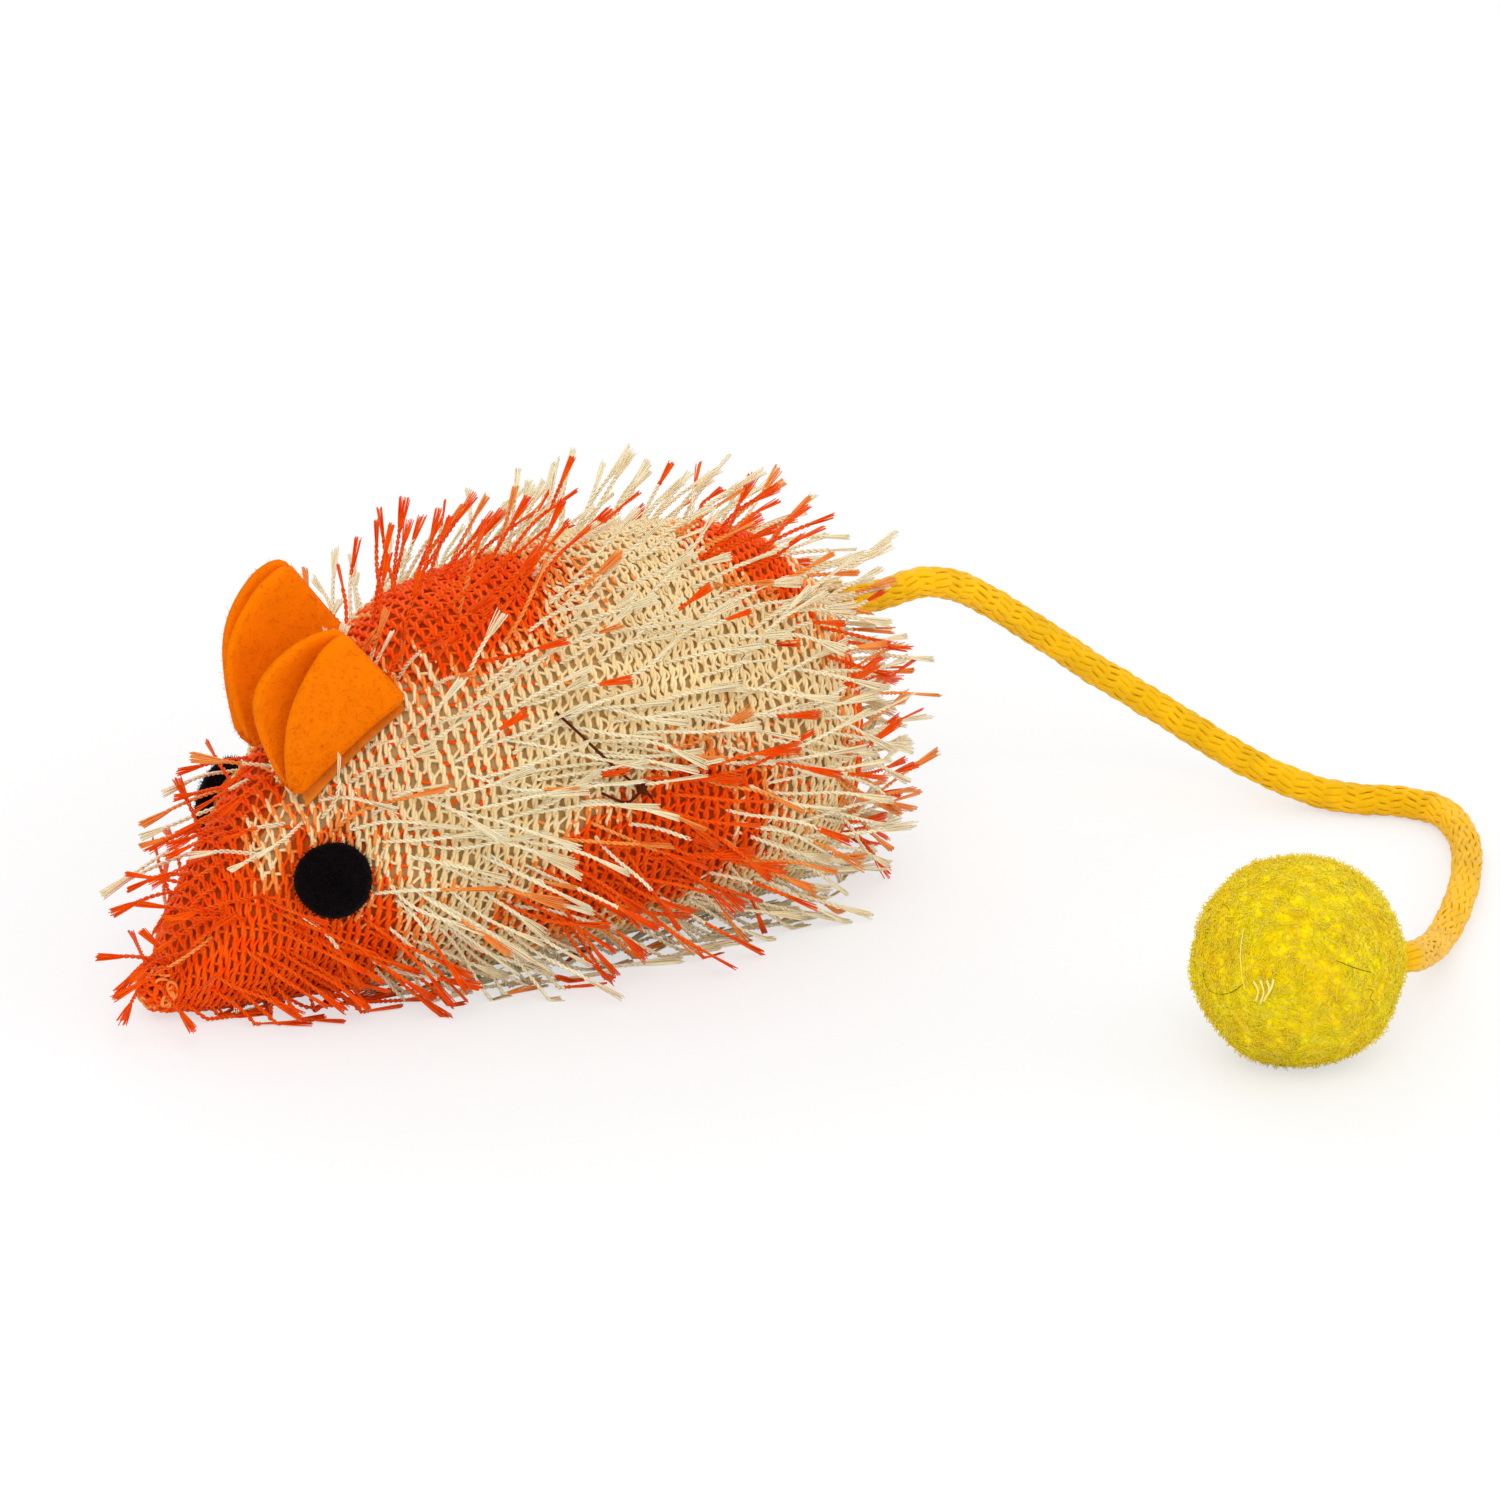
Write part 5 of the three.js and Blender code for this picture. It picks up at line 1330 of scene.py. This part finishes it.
# Areas of the cloth where lashes lie otherwise: where each starts, and over what stretch it fades in. They
# are shares of the way round from the back, or metres from the nose
FLANK_AREA = (0.36, 0.2)
BACK_AREA = (0.34, -0.14)
BELLY_AREA = (0.58, 0.15)
RUMP_AREA = (86 * MM, 10 * MM)
HEAD_AREA = (26 * MM, -8 * MM)
CROWN_AREA = (0.4, -0.12)
NOSE_TIP_AREA = 5 * MM
# Their lie there, in degrees: the middle and the spread of their turn towards the belly, and of their rise
USUAL_TURN = (3, 13)
USUAL_RISE = (14, 4.5)
FLANK_TURN = 26
BACK_TURN_SHARE = 0.8  # how much more they turn there
BACK_RISE = (34, 8)
BELLY_RISE = (10, 8)
RUMP_RISE = (34, 10)
CROWN_RISE = (44, 10)
CHEEK_TURN = (12, 8)
FORWARD_TURN = (180, 28)  # of those on the crown that lie forward
FORWARD_ODDS = 0.9
FORWARD_HEAD = 0.3  # how far into the head's area they start
NOSE_TURN = (165, 60)
NOSE_RISE = (30, 16)
RISE_LIMITS = (9, 84)


def lash_roots(rng):
    """Places on the cloth where eyelashes stand"""
    pitch = sizes().lash_pitch
    start, end = LASH_ROWS
    found = []
    for row, v in enumerate(np.arange(start, FABRIC.v[-1] - end, pitch)):
        girth = float(FABRIC.girth_at(v))
        count = max(FEWEST_LASHES, round(2 * girth / pitch))
        s = (np.arange(count) + 0.5 * (row % 2)) * 2 * girth / count - girth
        found.append(np.stack([np.full(count, v), s], axis=1))
    place = np.concatenate(found)
    place += rng.normal(size=place.shape) * LASH_SCATTER * pitch
    start, end = LASH_ENDS
    place[:, 0] = np.clip(place[:, 0], start, FABRIC.v[-1] - end)
    return place


def lash_angles(rng, v, share):
    """Which way eyelashes lie: their angle from the tailward way towards the belly, and their rise"""

    def drawn(middle, spread):
        return middle + rng.normal(size=len(v)) * spread

    away = np.abs(share)
    turn = drawn(*USUAL_TURN) + FLANK_TURN * ramp(away, *FLANK_AREA)
    rise = drawn(*USUAL_RISE)
    back = ramp(away, *BACK_AREA)
    rise = rise + back * drawn(*BACK_RISE)
    turn = turn * (1 + BACK_TURN_SHARE * back)
    rise = rise + ramp(away, *BELLY_AREA) * drawn(*BELLY_RISE)
    rise = rise + ramp(v, *RUMP_AREA) * drawn(*RUMP_RISE)
    head, crown = ramp(v, *HEAD_AREA), ramp(away, *CROWN_AREA)
    rise = rise * (1 - head * crown) + head * crown * drawn(*CROWN_RISE)
    turn = turn + head * (1 - crown) * drawn(*CHEEK_TURN)
    forward = (head > FORWARD_HEAD) & (rng.uniform(size=len(v)) < FORWARD_ODDS * crown)
    turn = np.where(forward, drawn(*FORWARD_TURN), turn)
    tip = v < NOSE_TIP_AREA
    turn = np.where(tip, drawn(*NOSE_TURN), turn)
    rise = np.where(tip, drawn(*NOSE_RISE), rise)
    return np.radians(turn) * np.sign(share), np.radians(np.clip(rise, *RISE_LIMITS))


class MOUSE_OT_eyelashes(bpy.types.Operator):
    """Sets the eyelashes: twisted yarn ends that open into a brush"""

    bl_idname = "mouse.eyelashes"
    bl_label = "Eyelashes"

    def execute(self, context):
        rng = np.random.default_rng(sizes().seed + 6)
        place = lash_roots(rng)
        v, s = place.T
        girth = FABRIC.girth_at(v)
        share = s / girth
        root = FABRIC.point(v, s, np.full(v.shape, LASH_ROOT_DEPTH))
        normal = FABRIC.normal(v, s)
        off_floor = (root[:, 2] > LASHED_HEIGHT) | (normal[:, 2] > LASHED_SLOPE)
        keep = (np.abs(share) < LASHED_SHARE) & off_floor
        on_back = (np.abs(share) < THIN_BACK_SHARE) & (v > THIN_BACK_START)
        keep &= rng.uniform(size=len(v)) > np.where(on_back, BACK_THINNING, OTHER_THINNING)
        v, s, share, root, normal = (a[keep] for a in (v, s, share, root, normal))
        along = unit(np.array((1, 0, 0)) - normal * normal[:, :1])
        down = np.cross(along, normal)
        ends = [FABRIC.point(v, s + step, np.zeros(v.shape)) for step in (DOWN_STEP, -DOWN_STEP)]
        lower = ends[0] - ends[1]
        down *= np.sign(np.sum(down * lower, axis=1, keepdims=True))
        length = sizes().lash_length * np.exp(rng.normal(size=len(v)) * LASH_UNEVEN)
        rear = np.where(v > SHORT_RUMP_START, END_LENGTH, 1.0)
        length *= np.where(np.abs(share) < SHORT_BACK_SHARE, BACK_LENGTH, 1.0) * rear
        length *= np.where(v < SHORT_HEAD_END, END_LENGTH, 1.0)
        free = self.keep_clear()
        paths = np.zeros((len(v), LASH_POINTS, 3))
        left = np.arange(len(v))
        for _ in range(LASH_TRIES):
            az, el = lash_angles(rng, v[left], share[left])
            path = self.lay(rng, root[left], along[left], down[left], normal[left], az, el, length[left])
            paths[left] = path
            bad = np.array([not free(strand) for strand in path])
            left = left[bad]
            if not len(left):
                break
        good = np.ones(len(v), bool)
        good[left] = False
        v, s, share, paths, length = (a[good] for a in (v, s, share, paths, length))
        self.build(rng, v, s, share, paths, length)
        return {"FINISHED"}

    @staticmethod
    def lay(rng, root, along, down, normal, az, el, length):
        """Paths of strands that leave the cloth and sag a little"""
        n = len(root)
        flat = along * np.cos(az)[:, None] + down * np.sin(az)[:, None]
        way = unit(flat * np.cos(el)[:, None] + normal * np.sin(el)[:, None])
        side = np.cross(way, normal)
        drop = np.minimum(rng.uniform(*LASH_SAG, size=n), 0.5 * np.sin(el))[:, None]
        sag = -drop * normal + rng.normal(size=(n, 1)) * LASH_SIDEWAYS * side
        sag[:, 2] -= LASH_WEIGHT
        u = np.linspace(0, 1, LASH_POINTS)[None, :, None]
        path = root[:, None] + (way[:, None] * u + sag[:, None] * u**2) * length[:, None, None]
        phase = rng.uniform(0, 2 * math.pi, size=(n, 1, 1))
        wave = rng.uniform(0, LASH_WAVE, size=(n, 1, 1)) * (np.sin(LASH_WAVES * u + phase) - np.sin(phase))
        path += side[:, None] * wave
        path[..., 2] = np.maximum(path[..., 2], LASH_FLOOR)
        return path

    @staticmethod
    def keep_clear():
        """A test that a strand stays off the ears, the eyes and the tail's way"""
        balls = []
        for side in SIDES.values():
            balls.append((ear_surface(side, *ear_grid(*CLEAR_GRID)).reshape(-1, 3), EAR_CLEARANCE))
            balls.append((eye_seat(side)[0][None], EYE_RADIUS + EYE_CLEARANCE))
        route, _ = tail_route()
        swing = []
        for angle in np.radians(np.linspace(-TAIL_SWING, TAIL_SWING, SWING_STEPS)):
            turned = route[:TAIL_ROOT_POINTS] - TAIL_ROOT
            c, k = math.cos(angle), math.sin(angle)
            swing.append(turned @ np.array(((c, k, 0), (-k, c, 0), (0, 0, 1))) + TAIL_ROOT)
        balls.append((np.concatenate(swing), CORD_DIAMETER / 2 + TAIL_CLEARANCE))

        def free(strand):
            for centres, radius in balls:
                gap = np.linalg.norm(strand[2::2, None] - centres[None], axis=2).min()
                if gap < radius:
                    return False
            return True

        return free

    @staticmethod
    def dye(rng, v, s):
        """The colour of each lash's foot and of its tip"""
        count = len(v)
        waves = np.random.default_rng(sizes().seed + 4)
        ahead = np.interp(v / MM, *DYE_AHEAD) * MM
        level = patch_level(v + ahead, s) + wander(waves, v, s, DYE_DRIFT_LENGTH, DYE_DRIFT)
        level += rng.normal(size=count) * DYE_UNEVEN
        base = np.where(level > 0, RUST, CREAM)
        edge = (np.abs(level) < AMBER_FOOT_REACH) & (rng.uniform(size=count) < AMBER_FOOT_ODDS)
        base = np.where(edge, AMBER, base)
        near = np.exp(-np.maximum(-level, 0) / DYED_TIP_REACH)
        far_odds, near_odds = DYED_TIP_ODDS
        dyed = (base == CREAM) & (rng.uniform(size=count) < far_odds + near_odds * near)
        tip = np.where(dyed, rng.choice((RUST, AMBER), size=count, p=DYED_TIP_TONE_ODDS), base)
        pale = (base == RUST) & (rng.uniform(size=count) < PALE_FOOT_ODDS)
        return np.where(pale, rng.choice((CREAM, AMBER), size=count), base), tip

    def build(self, rng, v, s, share, paths, length):
        """Lays two plies and a brush along each path, and gathers them in pieces by their place"""
        count = len(v)
        base, tip = self.dye(rng, v, s)
        change = rng.uniform(*COLOUR_CHANGE, size=count)[:, None]
        u = np.linspace(0, 1, LASH_POINTS)
        paint = np.where(u[None, :-1] < change, base[:, None], tip[:, None])
        tangent = unit(np.gradient(paths, axis=1))
        phase = rng.uniform(*ANY_PHASE, size=count)[:, None]
        turns = 2 * math.pi * u[None] * length[:, None] / LASH_TWIST_PITCH + phase
        yarns = yarn_finishes("lash", 0.42)
        body, back = v >= NOSE_END, np.abs(share) < FLANK_SHARE
        groups = {
            "nose": v < NOSE_END,
            "back_front": body & (v < BACK_MIDDLE) & back,
            "back_rear": (v >= BACK_MIDDLE) & back,
            "left": body & (share >= FLANK_SHARE),
            "right": body & (share <= -FLANK_SHARE),
        }
        for name, chosen in groups.items():
            if not chosen.any():
                raise RuntimeError(f"no eyelashes on the {name}")
            strands = Strands()
            self.plies(strands, paths[chosen], tangent[chosen], turns[chosen], paint[chosen])
            self.brush(rng, strands, paths[chosen], tangent[chosen], length[chosen], tip[chosen])
            node = "eyelash_tufts_" + name.split("_")[0]
            piece(strands.build(f"eyelashes_{name}", yarns), "mouse", "knit_cream", node)

    @staticmethod
    def plies(strands, paths, tangent, turns, paint):
        """Two plies wound round each path, as far as its brush"""
        radius = sizes().ply / 2
        first = unit(np.cross(tangent, (0.21, 0.13, 0.97)))
        second = np.cross(tangent, first)
        end = BRUSH_START + 3
        for ply in (0, math.pi):
            spin = (turns + ply)[..., None]
            offset = (first * np.cos(spin) + second * np.sin(spin)) * radius
            path = (paths + offset)[:, :end]
            strands.add(path, radius, sides=3, up=second[:, :end], paint=paint[:, : end - 1])

    @staticmethod
    def brush(rng, strands, paths, tangent, length, paint):
        """The loose fibres that each path ends in, spread in a flat fan"""
        count = len(paths)
        fan = unit(rng.normal(size=(count, 3)))
        way = tangent[:, BRUSH_START]
        fan = unit(fan - way * np.sum(fan * way, axis=1, keepdims=True))
        thin = np.cross(way, fan)
        width = BRUSH_HALF_WIDTH * rng.uniform(*BRUSH_WIDTHS, size=count)
        start = paths[:, BRUSH_START][:, None]
        t = np.linspace(0, 1, len(BRUSH_TAPER))[None, :, None]
        for i in range(BRUSH_FIBRES):
            spread = (i + 0.5) / BRUSH_FIBRES * 2 - 1
            jitter = rng.normal(size=(count, 1)) * BRUSH_JITTER
            uneven = rng.uniform(*BRUSH_LENGTHS, size=count)
            reach = length * (1 - BRUSH_SHARE) * uneven + BRUSH_OVERLAP
            opened = fan * (spread + jitter) + thin * rng.normal(size=(count, 1)) * BRUSH_THICKNESS
            fanned = BRUSH_FOOT + (1 - BRUSH_FOOT) * t**BRUSH_OPENING
            opened = opened[:, None] * fanned * width[:, None, None]
            path = start + way[:, None] * t * reach[:, None, None] + opened
            path[..., 2] = np.maximum(path[..., 2], BRUSH_FLOOR)
            taper = BRUSH_FIBRE_RADIUS * np.array([BRUSH_TAPER])
            strands.add(path, taper, sides=3, up=(0.2, 0.3, 0.93), paint=paint)


# Inner pieces that stay as the frame has them

# Each finish: its colour, roughness and grain in mm, and the frame's nodes that it goes on
INNER = {
    "thread": (
        (0.8, 0.72, 0.55), 0.5, 0.3,
        ("nose_gather_thread", "rump_gather_thread", "tail_anchor_knot", "pompom_binding"),
    ),
    "fibre": ((0.9, 0.9, 0.88), 0.9, 0.6, ("stuffing_upper", "stuffing_lower")),
    "sheet": ((0.86, 0.84, 0.78), 0.8, 0.4, ("sachet_top_sheet", "sachet_bottom_sheet")),
    "catnip": ((0.33, 0.36, 0.18), 0.95, 1.2, ("dried_catnip",)),
    # The glue's orange is partly the felt seen through clear glue and partly painted shade at the ears' feet
    "glue": (
        (0.95, 0.55, 0.16), 0.5, 0.5, ("left_eye_glue", "right_eye_glue", "left_ear_glue", "right_ear_glue"),
    ),
    "knot": ((0.99, 0.71, 0.1), 0.4, 0.3, ("tail_end_knot",)),
}


class MOUSE_OT_inner_pieces(bpy.types.Operator):
    """Gives the pieces inside the mouse their finishes"""

    bl_idname = "mouse.inner_pieces"
    bl_label = "Inner pieces"

    def execute(self, context):
        for kind, (tone, roughness, grain, names) in INNER.items():
            tone = linear(tone)
            finish = Finish(f"inner_{kind}", tone, shade(tone, 0.7), roughness, patch=grain * 4 * MM)
            finish.bump(finish.noise(grain * MM, 3), 0.1 * MM)
            for name in names:
                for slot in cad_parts[name].material_slots:
                    slot.material = finish.material
        return {"FINISHED"}


# Camera and stage

VIEW_TARGET = Vector((26.73, -6.31, 16.56)) * MM
VIEW_DIRECTION = Vector((-0.4513, -0.7817, 0.4305))
VIEW_DISTANCE = 4
VIEW_LENS = 960
VIEW_SENSOR = 36


class MOUSE_OT_camera(bpy.types.Operator):
    """Sets the camera at the photograph's angle"""

    bl_idname = "mouse.camera"
    bl_label = "Camera"

    def execute(self, context):
        lens = bpy.data.cameras.new("camera")
        lens.lens = VIEW_LENS
        lens.sensor_width = VIEW_SENSOR
        camera = bpy.data.objects.new("camera", lens)
        camera.location = VIEW_TARGET + VIEW_DIRECTION.normalized() * VIEW_DISTANCE
        camera.rotation_euler = VIEW_DIRECTION.to_track_quat("Z", "Y").to_euler()
        context.scene.collection.objects.link(camera)
        context.scene.camera = camera
        return {"FINISHED"}


# Each lamp: its place, size and power
LAMPS = (
    ("key", (-0.25, -0.5, 0.65), 0.5, 1.9),
    ("fill", (0.55, -0.45, 0.35), 0.5, 0.7),
    ("rim", (0.15, 0.6, 0.5), 0.5, 0.8),
)
FLOOR_HALF_SIZE = 3.0
FLOOR_OWN_WHITE = 0.6  # share of its white that is its own in what the camera sees
SURROUND_STRENGTH = 0.82  # of the soft light from all sides


class MOUSE_OT_stage(bpy.types.Operator):
    """Lays the pale floor and sets the soft lights"""

    bl_idname = "mouse.stage"
    bl_label = "Stage and lights"

    def execute(self, context):
        scene = context.scene
        scene.view_settings.view_transform = "Standard"
        half = FLOOR_HALF_SIZE
        corners = [(-half, -half, 0), (half, -half, 0), (half, half, 0), (-half, half, 0)]
        floor = mesh_object("floor", corners, np.array([[0, 1, 2, 3]]), [self.floor_paint()])
        for name, place, size, power in LAMPS:
            data = bpy.data.lights.new(name, "AREA")
            data.size = size
            data.energy = power
            lamp = bpy.data.objects.new(name, data)
            lamp.location = place
            lamp.rotation_euler = Vector(place).to_track_quat("Z", "Y").to_euler()
            scene.collection.objects.link(lamp)
        world = bpy.data.worlds.new("studio")
        world.use_nodes = True
        nodes, links = world.node_tree.nodes, world.node_tree.links
        nodes.clear()
        soft, white = nodes.new("ShaderNodeBackground"), nodes.new("ShaderNodeBackground")
        soft.inputs["Strength"].default_value = SURROUND_STRENGTH
        white.inputs["Strength"].default_value = 1
        for node in (soft, white):
            node.inputs["Color"].default_value = (1, 1, 1, 1)
        pick, out = nodes.new("ShaderNodeMixShader"), nodes.new("ShaderNodeOutputWorld")
        self.seen(nodes, links, pick.inputs["Fac"])
        links.new(soft.outputs["Background"], pick.inputs[1])
        links.new(white.outputs["Background"], pick.inputs[2])
        links.new(pick.outputs["Shader"], out.inputs["Surface"])
        scene.world = world
        return {"FINISHED"}

    @staticmethod
    def seen(nodes, links, target):
        """1 for what the camera, a mirror or a glass sees"""
        path = nodes.new("ShaderNodeLightPath")
        rays = ("Is Camera Ray", "Is Glossy Ray", "Is Transmission Ray")
        links.new(largest(nodes, links, [path.outputs[ray] for ray in rays]), target)

    @staticmethod
    def floor_paint():
        """Matt white; what the camera sees of it is partly its own white, which keeps the shadow pale"""
        paint = bpy.data.materials.new("floor_paint")
        paint.use_nodes = True
        nodes, links = paint.node_tree.nodes, paint.node_tree.links
        shader = nodes["Principled BSDF"]
        shader.inputs["Base Color"].default_value = (0.95, 0.95, 0.95, 1)
        shader.inputs["Roughness"].default_value = 0.9
        shader.inputs["Specular IOR Level"].default_value = 0
        white = nodes.new("ShaderNodeEmission")
        white.inputs["Color"].default_value = (1, 1, 1, 1)
        pick = nodes.new("ShaderNodeMixShader")
        share = nodes.new("ShaderNodeMath")
        share.operation = "MULTIPLY"
        share.inputs[1].default_value = FLOOR_OWN_WHITE
        MOUSE_OT_stage.seen(nodes, links, share.inputs[0])
        links.new(share.outputs["Value"], pick.inputs["Fac"])
        links.new(shader.outputs["BSDF"], pick.inputs[1])
        links.new(white.outputs["Emission"], pick.inputs[2])
        links.new(pick.outputs["Shader"], nodes["Material Output"].inputs["Surface"])
        return paint


# Registration

STEPS = (
    MOUSE_OT_camera,
    MOUSE_OT_tail_cord,
    MOUSE_OT_pompom,
    MOUSE_OT_liner,
    MOUSE_OT_knit,
    MOUSE_OT_eyelashes,
    MOUSE_OT_felt,
    MOUSE_OT_inner_pieces,
    MOUSE_OT_stage,
)


class MOUSE_PT_panel(bpy.types.Panel):
    """Lists the steps that build the mouse"""

    bl_label = "Catnip Mouse"
    bl_space_type = "VIEW_3D"
    bl_region_type = "UI"
    bl_category = "Mouse"

    def draw(self, context):
        for step in STEPS:
            self.layout.operator(step.bl_idname)
        for settings in (context.scene.mouse_sizes, context.scene.mouse_colours):
            box = self.layout.box()
            for name in settings.bl_rna.properties.keys():
                if name not in ("rna_type", "name"):
                    box.prop(settings, name)


CLASSES = (MouseColours, MouseSizes, *STEPS, MOUSE_PT_panel)


def register():
    for each in CLASSES:
        bpy.utils.register_class(each)
    bpy.types.Scene.mouse_colours = PointerProperty(type=MouseColours)
    bpy.types.Scene.mouse_sizes = PointerProperty(type=MouseSizes)


def unregister():
    del bpy.types.Scene.mouse_sizes
    del bpy.types.Scene.mouse_colours
    for each in reversed(CLASSES):
        bpy.utils.unregister_class(each)


def main():
    register()
    for step in STEPS:
        group, name = step.bl_idname.split(".")
        getattr(getattr(bpy.ops, group), name)()
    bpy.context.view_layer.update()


if __name__ == "__main__":
    main()
